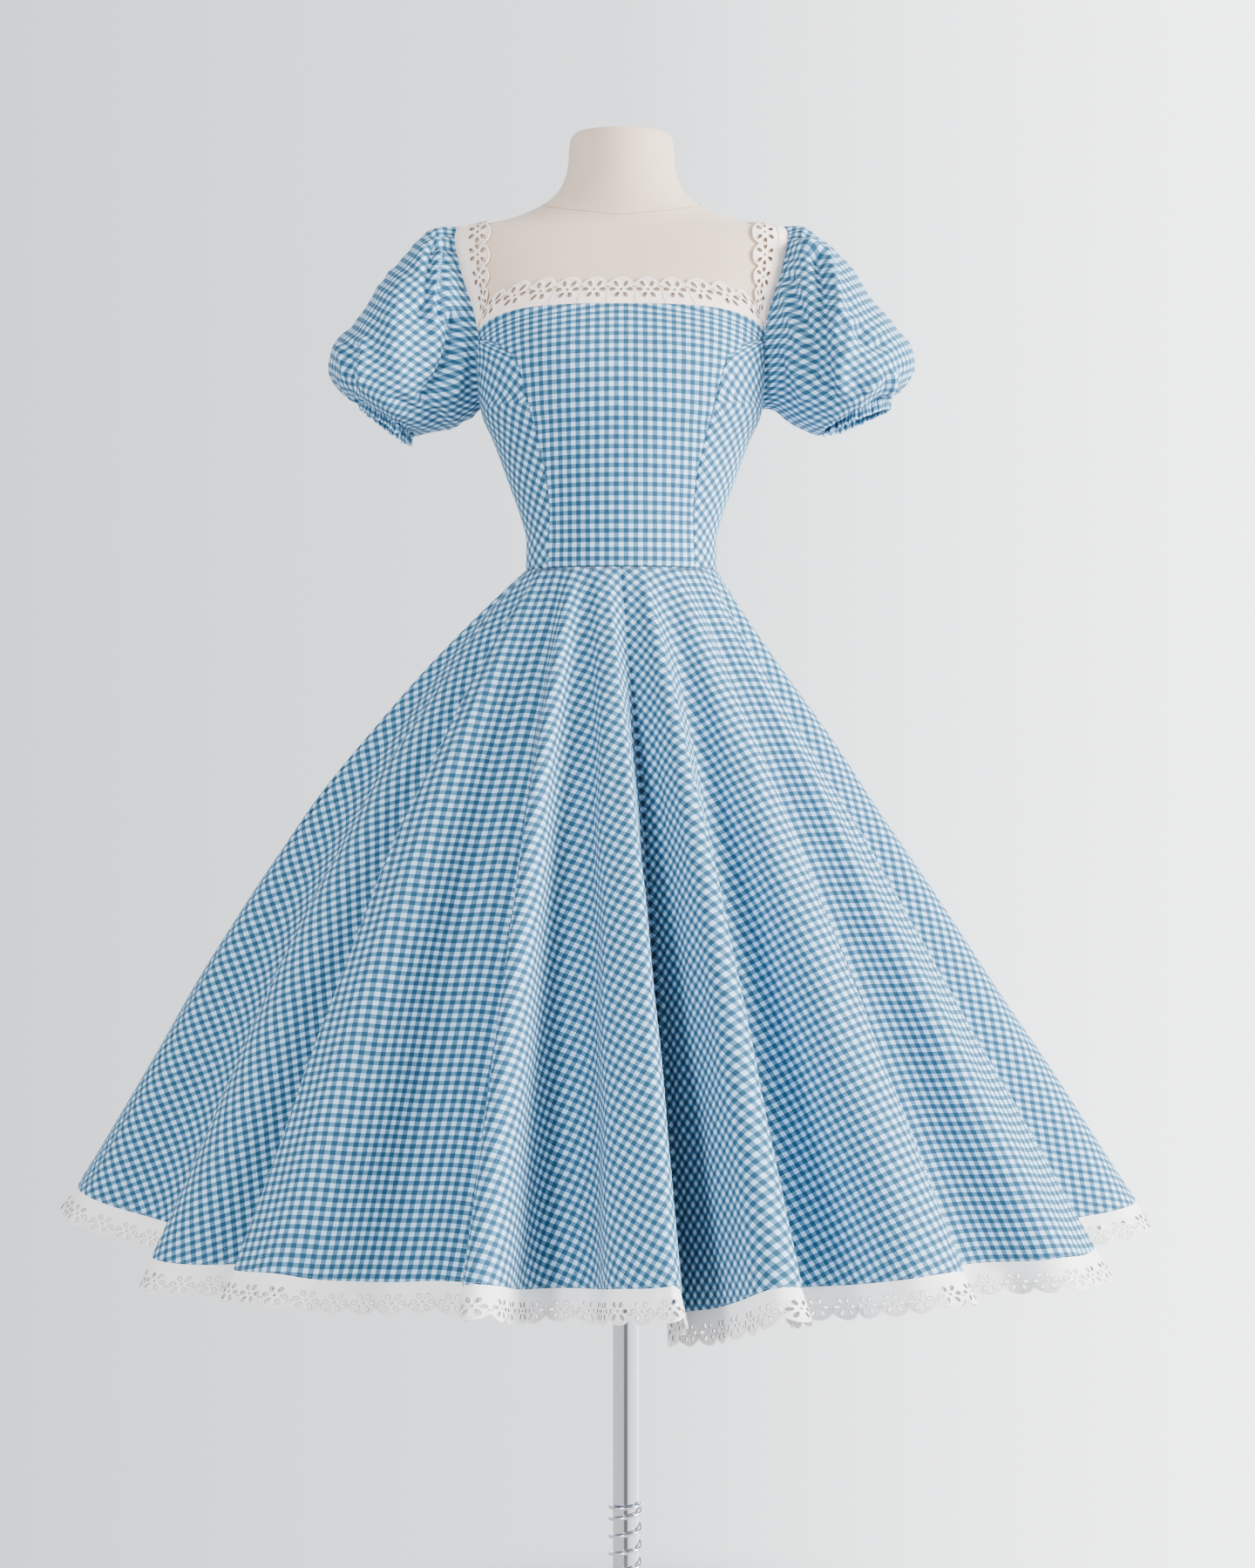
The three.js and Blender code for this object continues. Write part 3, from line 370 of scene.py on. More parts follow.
def armhole_half_width(rise):
    """Half width of the armhole, -1 under the arm and 1 at the shoulder."""
    taper = 1 - ARMHOLE_TAPER * (1 + rise) / 2
    return ARMHOLE_HALF_WIDTH * np.sqrt(np.maximum(1 - rise * rise, 0)) * taper


def armhole_point(turn, side):
    """Edge of the armhole: zero under the arm, half a turn at the shoulder, the front first."""
    turn = np.asarray(turn, float)
    z = ARMHOLE_Z - ARMHOLE_HALF_HEIGHT * np.cos(turn)
    y = -np.sign(np.sin(turn)) * armhole_half_width(-np.cos(turn))
    depth = np.where(y <= 0, form_size("front", z), form_size("back", z))
    power = form_size("power", z)
    share = np.minimum(1, np.abs(y) / depth) ** power
    x = side * form_size("half", z) * (1 - share) ** (1 / power)
    return np.stack([x, y, z], -1)


def angle_at_width(half, z):
    """Angle at which the form's section reaches a half width."""
    return np.arcsin(np.minimum(1, half / form_size("half", z)) ** (form_size("power", z) / 2))


def armhole_angle(z, column):
    """Angle of the armhole's edge at a height, a quarter turn below the armhole."""
    rise = np.clip((z - ARMHOLE_Z) / ARMHOLE_HALF_HEIGHT, -1, 1)
    reach = armhole_half_width(rise) / form_size(column, z)
    return np.arccos(np.minimum(reach, 1) ** (form_size("power", z) / 2))


def princess_angle(z):
    """Angle of the seam between the front and side panels."""
    return angle_at_width(read_table(z, PRINCESS_SEAM["z"], PRINCESS_SEAM["half"]), z)


def panel_edge(z, column):
    """Angle of the middle panel's edge: its seam, and above that the armhole."""
    return np.where(z > PRINCESS_SEAM["z"][-1], armhole_angle(z, column), princess_angle(z))


def neck_height(share):
    """Height of the neckline at a share of the way from the centre to the armhole."""
    return NECK_CENTRE_Z - (NECK_CENTRE_Z - NECK_CORNER_Z) * np.abs(share) ** NECK_DROP_POWER


def hem_plan(phase):
    """Hem seen from above, where each crest is a whole number.

    Gives the angle, the distance from the pole, the share of the way into a valley and the lift.
    """
    count = len(FOLDS["crest"])
    base = np.floor(phase).astype(int)
    share = phase - base
    here = base % count
    after = (base + 1) % count
    turn_here = 360 * (base // count)
    turn_after = 360 * ((base + 1) // count)
    rising = share > 0.5
    t = np.where(rising, 2 * share - 1, 2 * share)
    valley_at = FOLDS["valley_at"][here] + turn_here
    from_at = np.where(rising, valley_at, FOLDS["crest_at"][here] + turn_here)
    to_at = np.where(rising, FOLDS["crest_at"][after] + turn_after, valley_at)
    ease = (1 - np.cos(np.pi * t)) / 2
    roundness = FOLD_ROUNDNESS * np.sin(2 * np.pi * t) / (2 * np.pi)
    angle = np.radians(lerp(from_at, to_at, t + roundness))
    valley = np.where(rising, 1 - ease, ease)
    crest = np.where(rising, FOLDS["crest"][after], FOLDS["crest"][here])
    crest_lift = np.where(rising, FOLDS["lift"][after], FOLDS["lift"][here])
    radius = lerp(crest, FOLDS["valley"][here], valley)
    lift = lerp(crest_lift, FOLDS["valley_lift"][here], valley)
    return angle, radius, valley, lift


def waist_point(angle):
    """Waist seam at an angle."""
    depth = np.where(np.cos(angle) >= 0, WAIST_FRONT, WAIST_BACK)
    x = WAIST_HALF * np.sin(angle)
    y = -depth * np.cos(angle)
    return np.stack([x, y, np.full_like(x, WAIST_Z)], -1)


def hem_point(phase, waist):
    """Bottom of the edging, hanging from a waist point by the skirt's length."""
    angle, radius, valley, lift = hem_plan(phase)
    x = radius * np.sin(angle) - FORM_X
    y = -radius * np.cos(angle)
    reach = np.hypot(x - waist[..., 0], y - waist[..., 1])
    length = SKIRT_LENGTH - VALLEY_SHORTENING * valley
    z = waist[..., 2] - np.sqrt(length ** 2 - reach ** 2) + lift
    return np.stack([x, y, z], -1)


def measure_hem():
    """Fold phases all round from centre front, the share of the hem up to each, its length."""
    phases = CENTRE_FRONT_PHASE + np.linspace(0, len(FOLDS["crest"]), HEM_SAMPLES)
    shares, length = length_shares(hem_point(phases, waist_point(hem_plan(phases)[0])))
    return phases, shares, length


HEM_PHASES, HEM_SHARES, HEM_LENGTH = measure_hem()


def skirt_surface(share, down):
    """Point of the skirt by share of the cut from centre front and share of the way down."""
    waist = waist_point(2 * np.pi * share)
    hem = hem_point(np.interp(share % 1, HEM_SHARES, HEM_PHASES), waist)
    outward = unit((hem - waist) * (1, 1, 0))
    fullness = BULGE - BULGE_LEAN * outward[..., 0]
    bulge = fullness * down ** BULGE_TOP_POWER * np.maximum(1 - down, 0) ** BULGE_LOW_POWER
    return lerp(waist, hem, down[..., None]) + outward * bulge[..., None]


def skirt_point(share, down, lift):
    """Point of the skirt, moved out of the cloth by a lift, with its slight unevenness."""
    share, down, lift = np.broadcast_arrays(share, down, lift)
    reach, side_reach = 0.02, 0.0008
    near, far = np.maximum(down - reach, 0), np.minimum(down + reach, 1)
    round_step = (skirt_surface(share + side_reach, down)
                  - skirt_surface(share - side_reach, down))
    down_step = skirt_surface(share, far) - skirt_surface(share, near)
    normal = unit(np.cross(down_step, round_step))
    across = share * HEM_LENGTH
    turn = 2 * np.pi * share
    # Waves that run down the cloth and grow towards the hem
    wave = np.sin(34 * turn + 1.3 * np.sin(5 * turn)) * (1 + 0.5 * np.sin(7 * turn + 1))
    wave += 0.55 * np.sin(61 * turn + 2 * np.sin(7 * turn))
    # Shallow ripples of unpressed cotton, and the pucker over the hem's hand tacks
    ripple = np.sin(across / 31 + 2.1 * np.sin(down * 9)) * np.sin(down * 13 + across / 170)
    ripple += 0.6 * np.sin(across / 17 + down * 21) * np.sin(across / 75 + down * 5)
    pucker = 0.35 * np.sin(across / 2.1 + 3 * np.sin(across / 37)) * bump(down - 0.935, 0.02)
    amount = 1.3 * ripple * np.clip(down * 4, 0, 1) * (1 - 0.5 * down) + pucker
    amount = amount + wave * (0.25 + 5.0 * down * (1 - 0.45 * down))
    return skirt_surface(share, down) + normal * (lift + amount)[..., None]


# Meshes

def grid_faces(rows, columns, wrapped=False):
    """Four-sided faces of a grid of points."""
    spans = columns if wrapped else columns - 1
    row, column = np.meshgrid(np.arange(rows - 1), np.arange(spans), indexing="ij")
    start, after = row * columns, (column + 1) % columns
    corners = (start + column, start + after, start + columns + after, start + columns + column)
    return np.stack([corner.ravel() for corner in corners], -1)


def faces_point_out(points, faces, inside):
    """Whether faces turn away from the inside, taken over all of them."""
    corners = points[faces]
    normal = np.cross(corners[:, 1] - corners[:, 0], corners[:, 2] - corners[:, 0])
    return (normal * (corners.mean(1) - inside)).sum() > 0


def add_object(name, data):
    """Put a mesh, curve, light or camera in the scene."""
    made = bpy.data.objects.new(name, data)
    bpy.context.scene.collection.objects.link(made)
    return made


def plain_mesh(source, name):
    """Turn an object, as its modifiers leave it, into a mesh, and remove the object."""
    ready = source.evaluated_get(bpy.context.evaluated_depsgraph_get())
    mesh = bpy.data.meshes.new_from_object(ready)
    mesh.name = name
    bpy.data.objects.remove(source)
    return mesh


def make_object(name, points, faces, material, flat=None, worn=True, inside=None):
    """Make an object from points in millimetres, its faces turned away from the inside.

    Worn pieces are moved to the middle of the dress form. The others stand about the pole.
    """
    points = np.array(points, float).reshape(-1, 3)
    faces = np.asarray(faces)
    if inside is not None and not faces_point_out(points, faces, inside):
        faces = faces[:, ::-1]
    if worn:
        points[:, 0] += FORM_X
    mesh = bpy.data.meshes.new(name)
    mesh.from_pydata((points * MM).tolist(), [], faces.tolist())
    if flat is not None:
        corner = np.empty(len(mesh.loops), int)
        mesh.loops.foreach_get("vertex_index", corner)
        layer = mesh.uv_layers.new(name="flat")
        layer.data.foreach_set("uv", (np.reshape(flat, (-1, 2))[corner] * MM).ravel())
    mesh.shade_smooth()
    mesh.materials.append(material)
    return add_object(name, mesh)


def merge_points(piece, distance):
    """Join points closer than a distance in millimetres, where parts of one sheet meet."""
    joined = bmesh.new()
    joined.from_mesh(piece.data)
    bmesh.ops.remove_doubles(joined, verts=joined.verts, dist=distance * MM)
    joined.to_mesh(piece.data)
    joined.free()


def thicken(piece, thickness):
    """Give a sheet its thickness, inwards from the side that shows."""
    wall = piece.modifiers.new("thickness", "SOLIDIFY")
    wall.thickness = thickness
    wall.offset = -1
    wall.use_rim = True
    return piece


def finish_detail(piece, body=DRESS_BODY):
    """Let a piece ride on a body."""
    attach(piece, body)


def finish_piece(piece, node, body=DRESS_BODY):
    """Let a piece stand for its solid, which it hides, and ride on a body."""
    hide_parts(node)
    finish_detail(piece, body)


def tuck(shares, width, depth=1.1):
    """How far the edges of a panel turn in at its seams, for shares from 0 to 1 over a width."""
    from_edge = np.minimum(shares, 1 - shares) * width
    return -depth * np.clip(1 - from_edge / TUCK_REACH, 0, 1) ** 2


def lathe(profile, sides):
    """Points and faces of a shape turned on the pole's axis, from (radius, height) pairs.

    Faces point outwards where the pairs run up the outside and down the inside.
    """
    radius, height = np.array(profile, float).T
    radius, angle = radius[:, None], full_turn(sides)[None, :]
    x, y = radius * np.cos(angle), radius * np.sin(angle)
    points = np.stack([x, y, np.broadcast_to(height[:, None], x.shape)], -1)
    return points, grid_faces(len(profile), sides, wrapped=True)


def rounded(corner_radius, corner_z, size, start):
    """Quarter round from a start angle, in degrees, about a corner's middle."""
    angles = np.radians(start + np.linspace(0, 90, 6))
    return [(corner_radius + size * np.cos(a), corner_z + size * np.sin(a)) for a in angles]


# Node trees that lay a shape along lines

def add_node(tree, kind, links=None, **settings):
    """Add a node with its settings, and its inputs by name or number as values or sockets."""
    made = tree.nodes.new(kind)
    for key, value in settings.items():
        setattr(made, key, value)
    for key, value in (links or {}).items():
        if isinstance(value, bpy.types.NodeSocket):
            tree.links.new(value, made.inputs[key])
        else:
            made.inputs[key].default_value = value
    return made


def geometry_tree(name, numbers):
    """Start a tree with a geometry input and named numbers with their defaults."""
    tree = bpy.data.node_groups.new(name, "GeometryNodeTree")
    tree.interface.new_socket("Geometry", in_out="INPUT", socket_type="NodeSocketGeometry")
    for label, value in numbers.items():
        socket = tree.interface.new_socket(label, in_out="INPUT", socket_type="NodeSocketFloat")
        socket.default_value = value
    tree.interface.new_socket("Geometry", in_out="OUTPUT", socket_type="NodeSocketGeometry")
    return tree, tree.nodes.new("NodeGroupInput")


def finish_tree(tree, geometry, material):
    """End a tree with real, smooth faces in one material."""
    real = add_node(tree, "GeometryNodeRealizeInstances", {0: geometry})
    smooth = add_node(tree, "GeometryNodeSetShadeSmooth", {0: real.outputs[0]})
    painted = add_node(tree, "GeometryNodeSetMaterial", {0: smooth.outputs[0],
                                                         "Material": material})
    end = tree.nodes.new("NodeGroupOutput")
    tree.links.new(painted.outputs[0], end.inputs[0])
    return tree


def stitch_tree(material):
    """Stitches laid end to end along every line of edges."""
    tree, given = geometry_tree("stitches", {"Spacing": 0.0035, "Length": 0.0024,
                                             "Thread": 0.00026})
    line = add_node(tree, "GeometryNodeMeshToCurve", {0: given.outputs["Geometry"]})
    spaced = add_node(tree, "GeometryNodeResampleCurve", {
        "Curve": line.outputs[0], "Length": given.outputs["Spacing"]}, mode="LENGTH")
    thread = add_node(tree, "GeometryNodeMeshIcoSphere", {"Radius": 0.5, "Subdivisions": 1})
    size = add_node(tree, "ShaderNodeCombineXYZ", {
        0: given.outputs["Length"], 1: given.outputs["Thread"], 2: given.outputs["Thread"]})
    along = tree.nodes.new("GeometryNodeInputTangent")
    turned = add_node(tree, "FunctionNodeAlignRotationToVector", {
        "Vector": along.outputs[0]}, axis="X")
    placed = add_node(tree, "GeometryNodeInstanceOnPoints", {
        "Points": spaced.outputs[0], "Instance": thread.outputs[0],
        "Rotation": turned.outputs[0], "Scale": size.outputs[0]})
    return finish_tree(tree, placed.outputs[0], material)


def wire_tree(material):
    """Round wire that follows every line of edges."""
    tree, given = geometry_tree("wire", {"Radius": 0.001})
    line = add_node(tree, "GeometryNodeMeshToCurve", {0: given.outputs["Geometry"]})
    ring = add_node(tree, "GeometryNodeCurvePrimitiveCircle", {
        "Resolution": 12, "Radius": given.outputs["Radius"]})
    swept = add_node(tree, "GeometryNodeCurveToMesh", {
        "Curve": line.outputs[0], "Profile Curve": ring.outputs[0], "Fill Caps": True})
    return finish_tree(tree, swept.outputs[0], material)


def along_lines(name, lines, tree, numbers, worn=True):
    """Run a tree over lines of points in millimetres, and keep the result as a plain mesh."""
    edges, points, start = [], [], 0
    for line in lines:
        edges += [(start + i, start + i + 1) for i in range(len(line) - 1)]
        start += len(line)
        points.append(np.asarray(line, float))
    places = np.concatenate(points) + (FORM_X if worn else 0, 0, 0)
    mesh = bpy.data.meshes.new(name)
    mesh.from_pydata((places * MM).tolist(), edges, [])
    source = add_object(name + "_lines", mesh)
    modifier = source.modifiers.new("tree", "NODES")
    modifier.node_group = tree
    for item in tree.interface.items_tree:
        if item.in_out == "INPUT" and item.name in numbers:
            modifier[item.identifier] = numbers[item.name]
    return add_object(name, plain_mesh(source, name))


# Materials

def new_material(name):
    """Start a material, and give its tree and its shader."""
    material = bpy.data.materials.new(name)
    material.use_nodes = True
    return material, material.node_tree, material.node_tree.nodes["Principled BSDF"]


def set_shader(shader, **values):
    """Set a shader's own sockets."""
    for name, value in values.items():
        shader.inputs[name.replace("_", " ")].default_value = value


def mottled(tree, noise, colour, low, high):
    """Colour that is a little darker where a noise is low."""
    ramp = add_node(tree, "ShaderNodeValToRGB", {0: noise.outputs[0]})
    for stop, position, share in zip(ramp.color_ramp.elements, (low, high), (0.93, 1.0)):
        stop.position = position
        stop.color = (*[part * share for part in colour], 1)
    return ramp.outputs[0]


def add_creases(tree, shader, vector, below, height, spacing):
    """Soft creases of washed cotton over a finer relief, spaced by a real size in metres."""
    noise = add_node(tree, "ShaderNodeTexNoise", {
        "Vector": vector, "Scale": 1 / spacing, "Detail": 3.0, "Roughness": 0.55,
        "Distortion": 0.6})
    relief = add_node(tree, "ShaderNodeBump", {
        "Height": noise.outputs[0], "Distance": height, "Strength": 1.0,
        "Normal": below.outputs[0]})
    tree.links.new(relief.outputs[0], shader.inputs["Normal"])


def gingham_cotton(cloth):
    """Plain-woven gingham: equal stripes both ways, matte, with uneven threads and soft creases.

    It is made once, for all the pieces that are cut from it.
    """
    if GINGHAM in bpy.data.materials:
        return bpy.data.materials[GINGHAM]
    material, tree, shader = new_material(GINGHAM)
    flat = add_node(tree, "ShaderNodeUVMap", uv_map="flat")
    parts = add_node(tree, "ShaderNodeSeparateXYZ", {0: flat.outputs[0]})
    stripes, threads = [], []
    # Real threads are 0.3 mm apart. These are 0.75 mm, so that they show as faint streaks.
    thread_pitch = 0.00075
    for axis in (0, 1):
        place = add_node(tree, "ShaderNodeMath", {
            0: parts.outputs[axis], 1: 0.5 / cloth.check}, operation="MULTIPLY")
        share = add_node(tree, "ShaderNodeMath", {0: place.outputs[0]}, operation="FRACT")
        centred = add_node(tree, "ShaderNodeMath", {
            0: share.outputs[0], 1: 0.5}, operation="SUBTRACT")
        distance = add_node(tree, "ShaderNodeMath", {0: centred.outputs[0]},
                            operation="ABSOLUTE")
        stripe = add_node(tree, "ShaderNodeMapRange", {
            "Value": distance.outputs[0], "From Min": 0.235, "From Max": 0.265,
            "To Min": 1.0, "To Max": 0.0}, interpolation_type="SMOOTHSTEP")
        stripes.append(stripe.outputs[0])
        turns = add_node(tree, "ShaderNodeMath", {
            0: parts.outputs[axis], 1: 2 * math.pi / thread_pitch}, operation="MULTIPLY")
        wave = add_node(tree, "ShaderNodeMath", {0: turns.outputs[0]}, operation="SINE")
        threads.append(wave.outputs[0])
    over = add_node(tree, "ShaderNodeMath", {0: threads[0], 1: threads[1]},
                    operation="MULTIPLY")
    which = add_node(tree, "ShaderNodeMapRange", {
        "Value": over.outputs[0], "From Min": -0.6, "From Max": 0.6, "To Min": 0.38,
        "To Max": 0.62})
    blue = add_node(tree, "ShaderNodeMix", {
        "Factor": which.outputs[0], "A": stripes[0], "B": stripes[1]}, data_type="FLOAT")
    streaks = []
    for stretch in ((1500, 55, 1), (55, 1500, 1)):
        fine = add_node(tree, "ShaderNodeVectorMath", {0: flat.outputs[0], 1: stretch},
                        operation="MULTIPLY")
        noise = add_node(tree, "ShaderNodeTexNoise", {
            "Vector": fine.outputs[0], "Scale": 1.0, "Detail": 2.0})
        streaks.append(noise.outputs[0])
    both = add_node(tree, "ShaderNodeMath", {0: streaks[0], 1: streaks[1]}, operation="ADD")
    slubs = add_node(tree, "ShaderNodeMapRange", {
        "Value": both.outputs[0], "From Min": 0.7, "From Max": 1.3, "To Min": -0.11,
        "To Max": 0.11})
    shade = add_node(tree, "ShaderNodeMath", {0: blue.outputs[0], 1: slubs.outputs[0]},
                     operation="ADD")
    ramp = add_node(tree, "ShaderNodeValToRGB", {0: shade.outputs[0]})
    ramp.color_ramp.elements[0].color = (*cloth.light, 1)
    ramp.color_ramp.elements[1].color = (*cloth.dark, 1)
    ramp.color_ramp.elements.new(0.5).color = (*cloth.middle, 1)
    tree.links.new(ramp.outputs[0], shader.inputs["Base Color"])
    weave = add_node(tree, "ShaderNodeBump", {
        "Height": over.outputs[0], "Distance": 0.00006, "Strength": 0.5})
    add_creases(tree, shader, flat.outputs[0], weave, 0.0011, 0.045)
    set_shader(shader, Roughness=0.88, Sheen_Weight=0.06, Sheen_Roughness=0.5,
               Specular_IOR_Level=0.12)
    return material


def plain_cotton(name, colour, creases, stitched=False):
    """Plain-woven cotton, white or cream: matte, with a fine weave and shallow creases.

    Where it is stitched, shade is painted into its colour, darker at the edge of each hole and
    beside its rim.
    """
    material, tree, shader = new_material(name)
    flat = add_node(tree, "ShaderNodeUVMap", uv_map="flat")
    weave_size = 0.0008        # coarser than the real 0.3 mm weave, so that it shows
    cells = add_node(tree, "ShaderNodeTexVoronoi", {
        "Vector": flat.outputs[0], "Scale": 1 / weave_size, "Randomness": 0.35})
    weave = add_node(tree, "ShaderNodeBump", {
        "Height": cells.outputs["Distance"], "Distance": 0.00008, "Strength": 0.6})
    tint = add_node(tree, "ShaderNodeTexNoise", {
        "Vector": flat.outputs[0], "Scale": 160.0, "Detail": 3.0})
    shown = mottled(tree, tint, colour, 0.25, 0.7)
    if stitched:
        # Painted shade: the colour goes towards a dark grey-brown where the shade attribute is
        # high, round the holes
        shade = add_node(tree, "ShaderNodeAttribute", attribute_name="shade")
        painted_shade_mix = add_node(tree, "ShaderNodeMix", {
            "Factor": shade.outputs["Fac"], 6: shown, 7: (*srgb("6b655f"), 1)},
            data_type="RGBA")
        shown = painted_shade_mix.outputs[2]
    tree.links.new(shown, shader.inputs["Base Color"])
    add_creases(tree, shader, flat.outputs[0], weave, creases, 0.014)
    set_shader(shader, Roughness=0.8, Sheen_Weight=0.3, Sheen_Roughness=0.4)
    return material


def cotton_thread(name, colour):
    """Mercerised sewing thread: a little glossier than the cloth, with twisted strands."""
    material, tree, shader = new_material(name)
    place = tree.nodes.new("ShaderNodeTexCoord")
    twist = add_node(tree, "ShaderNodeTexWave", {
        "Vector": place.outputs["Object"], "Scale": 900.0, "Distortion": 1.0})
    relief = add_node(tree, "ShaderNodeBump", {
        "Height": twist.outputs["Fac"], "Distance": 0.00005})
    tree.links.new(relief.outputs[0], shader.inputs["Normal"])
    set_shader(shader, Base_Color=(*colour, 1), Roughness=0.6, Sheen_Weight=0.2)
    return material


def knitted_cover(colour):
    """Fine cream jersey drawn tight over foam: matte, with a soft bloom and faint mottling."""
    material, tree, shader = new_material("fine jersey cover")
    place = tree.nodes.new("ShaderNodeTexCoord")
    loops = add_node(tree, "ShaderNodeTexVoronoi", {
        "Vector": place.outputs["Object"], "Scale": 1 / 0.0011})
    knit = add_node(tree, "ShaderNodeBump", {
        "Height": loops.outputs["Distance"], "Distance": 0.0001, "Strength": 0.5})
    mottle = add_node(tree, "ShaderNodeTexNoise", {
        "Vector": place.outputs["Object"], "Scale": 26.0, "Detail": 5.0, "Roughness": 0.6})
    tree.links.new(mottled(tree, mottle, colour, 0.3, 0.7), shader.inputs["Base Color"])
    tree.links.new(knit.outputs[0], shader.inputs["Normal"])
    set_shader(shader, Roughness=0.9, Sheen_Weight=0.35, Sheen_Roughness=0.55,
               Specular_IOR_Level=0.2)
    return material


def plated_metal(name, colour, roughness, grain):
    """Plated steel: a clear mirror or a satin one, with faint drawn lines along the metal."""
    material, tree, shader = new_material(name)
    place = tree.nodes.new("ShaderNodeTexCoord")
    stretched = add_node(tree, "ShaderNodeVectorMath", {
        0: place.outputs["Object"], 1: (1200, 1200, 30)}, operation="MULTIPLY")
    noise = add_node(tree, "ShaderNodeTexNoise", {
        "Vector": stretched.outputs[0], "Scale": 1.0, "Detail": 2.0})
    shine = add_node(tree, "ShaderNodeMapRange", {
        "Value": noise.outputs[0], "To Min": roughness - grain, "To Max": roughness + grain})
    tree.links.new(shine.outputs[0], shader.inputs["Roughness"])
    set_shader(shader, Base_Color=(*colour, 1), Metallic=1.0)
    return material


def enamel(colour):
    """Sprayed enamel on cast iron: satin, with a faint orange-peel relief."""
    material, tree, shader = new_material("sprayed satin enamel")
    place = tree.nodes.new("ShaderNodeTexCoord")
    peel = add_node(tree, "ShaderNodeTexNoise", {
        "Vector": place.outputs["Object"], "Scale": 1 / 0.0025, "Detail": 1.0})
    relief = add_node(tree, "ShaderNodeBump", {
        "Height": peel.outputs[0], "Distance": 0.00006, "Strength": 0.5})
    tree.links.new(relief.outputs[0], shader.inputs["Normal"])
    set_shader(shader, Base_Color=(*colour, 1), Roughness=0.38, Coat_Weight=0.2,
               Coat_Roughness=0.2)
    return material


# Eyelet edging

# Holes of one flower from its middle: place, half length, half width, turn of the long axis
EYELETS = table("x y long wide turn", (
    (-9.9, 0.3, 3.3, 1.95, 0), (9.9, 0.3, 3.3, 1.95, 0),
    (-5.5, 6.7, 3.4, 1.95, -52), (5.5, 6.7, 3.4, 1.95, 52),
    (-4.6, -6.1, 3.1, 1.95, 55), (4.6, -6.1, 3.1, 1.95, -55),
    (0, 0.3, 0.9, 0.9, 0),
))
HOLE_STEPS = 9
# Lines round a hole: distance from its edge in rims, relief in millimetres, and painted shade,
# darkest at the hole's edge
HOLE_LINES = ((0.0, 0.1, 1.0), (0.4, 0.5, 0.75), (1.0, 0.0, 0.0))
# The same round a dot, with the distance in millimetres, and painted shade at its edge
DOT_LINES = ((0.0, 0.1, 0.8), (0.6, 0.0, 0.15))
DOT_STEPS = 6
DOT_X = 14.1
DOT_Y = 3.5
DOT_RADIUS = 0.85
FLOWER_FROM_TIP = 15.0
FLOWER_REACH = 9.5
BORDER_WIDTH = 2.6
SCALLOP_DEPTH = 7.5


def ring(x, y, long, wide, turn, steps):
    """Closed loop round a hole. A petal is narrower at the end towards the flower's middle."""
    angle = full_turn(steps)
    u, v = long * np.cos(angle), wide * np.sin(angle)
    toward = -np.sign(x * math.cos(turn) + y * math.sin(turn)) if long > wide else 0
    v = v * (1 - 0.32 * np.clip(toward * np.cos(angle), 0, 1))
    return np.stack([x + u * math.cos(turn) - v * math.sin(turn),
                     y + u * math.sin(turn) + v * math.cos(turn)], -1)


def scallop_edge(x, width, height):
    """Height of the scalloped edge at a distance along one repeat."""
    return height - SCALLOP_DEPTH * np.abs(2 * x / width - 1) ** 2.3


def flower_loops(width, middle, rim):
    """Closed loops round the holes of one flower and its two dots.

    Each has its points, the relief and the painted shade there, and whether it is a hole's own
    edge.
    """
    loops = []
    for x, y, long, wide, turn in zip(*EYELETS.values()):
        for out, lift, dark in HOLE_LINES:
            grow = out * rim
            loop = ring(x, y, long + grow, wide + grow, math.radians(turn), HOLE_STEPS)
            loops.append((loop + (width / 2, middle), lift, dark, out == 0))
    for x in (-DOT_X, DOT_X):
        for out, lift, dark in DOT_LINES:
            radius = DOT_RADIUS + out
            loop = ring(x, DOT_Y, radius, radius, 0, DOT_STEPS)
            loops.append((loop + (width / 2, middle), lift, dark, out == 0))
    return loops


def eyelet_tile(width, height, rim):
    """One repeat of the edging, flat, with its holes cut out.

    Gives its points, the relief and the painted shade at each of them, and its triangles.
    """
    middle = height - FLOWER_FROM_TIP
    columns = np.linspace(0, width, 13)
    edge = scallop_edge(columns, width, height)
    level = np.zeros_like(columns)
    # Rows across the tile: heights, relief, and painted shade, a little of it beside the border's
    # raised ridge
    rows = (
        (level - EDGING_ALLOWANCE, 0.0, 0.0),
        (level, 0.0, 0.0),
        (level + (middle - FLOWER_REACH) / 2, 0.0, 0.0),
        (level + middle - FLOWER_REACH, 0.0, 0.0),
        (edge - BORDER_WIDTH, 0.0, 0.25),
        (edge - BORDER_WIDTH / 2, 0.45, 0.0),
        (edge, 0.0, 0.0),
    )
    points, marks, constraints = [], [], []

    # dark is the painted shade that the line's points carry
    def add_line(line, lift, dark, closed=False):
        start, count = len(points), len(line)
        points.extend(Vector(place) for place in line)
        marks.extend([(lift, dark)] * count)
        constraints.extend((start + i, start + (i + 1) % count)
                           for i in range(count if closed else count - 1))

    for row, lift, dark in rows:
        add_line(list(zip(columns, row)), lift, dark)
    for x in (0.0, width):
        add_line([(x, y) for y in np.linspace(middle - 5, edge[0] - 4, 4)], 0.0, 0.0)
    loops = flower_loops(width, middle, rim)
    for loop, lift, dark, _ in loops:
        add_line(loop, lift, dark, closed=True)
    result = delaunay_2d_cdt(points, constraints, [], 0, 1e-5)
    placed = np.array([tuple(point) for point in result[0]])
    found = np.array([marks[origin[0]] if origin else (0.0, 0.0) for origin in result[3]])
    triangles = np.array([face for face in result[2] if len(face) == 3])
    centres = placed[triangles].mean(1)
    keep = centres[:, 1] < scallop_edge(centres[:, 0], width, height)
    for loop, _, _, is_hole in loops:
        if is_hole:
            keep &= ~inside_loop(centres, loop)
    return placed, found, triangles[keep]


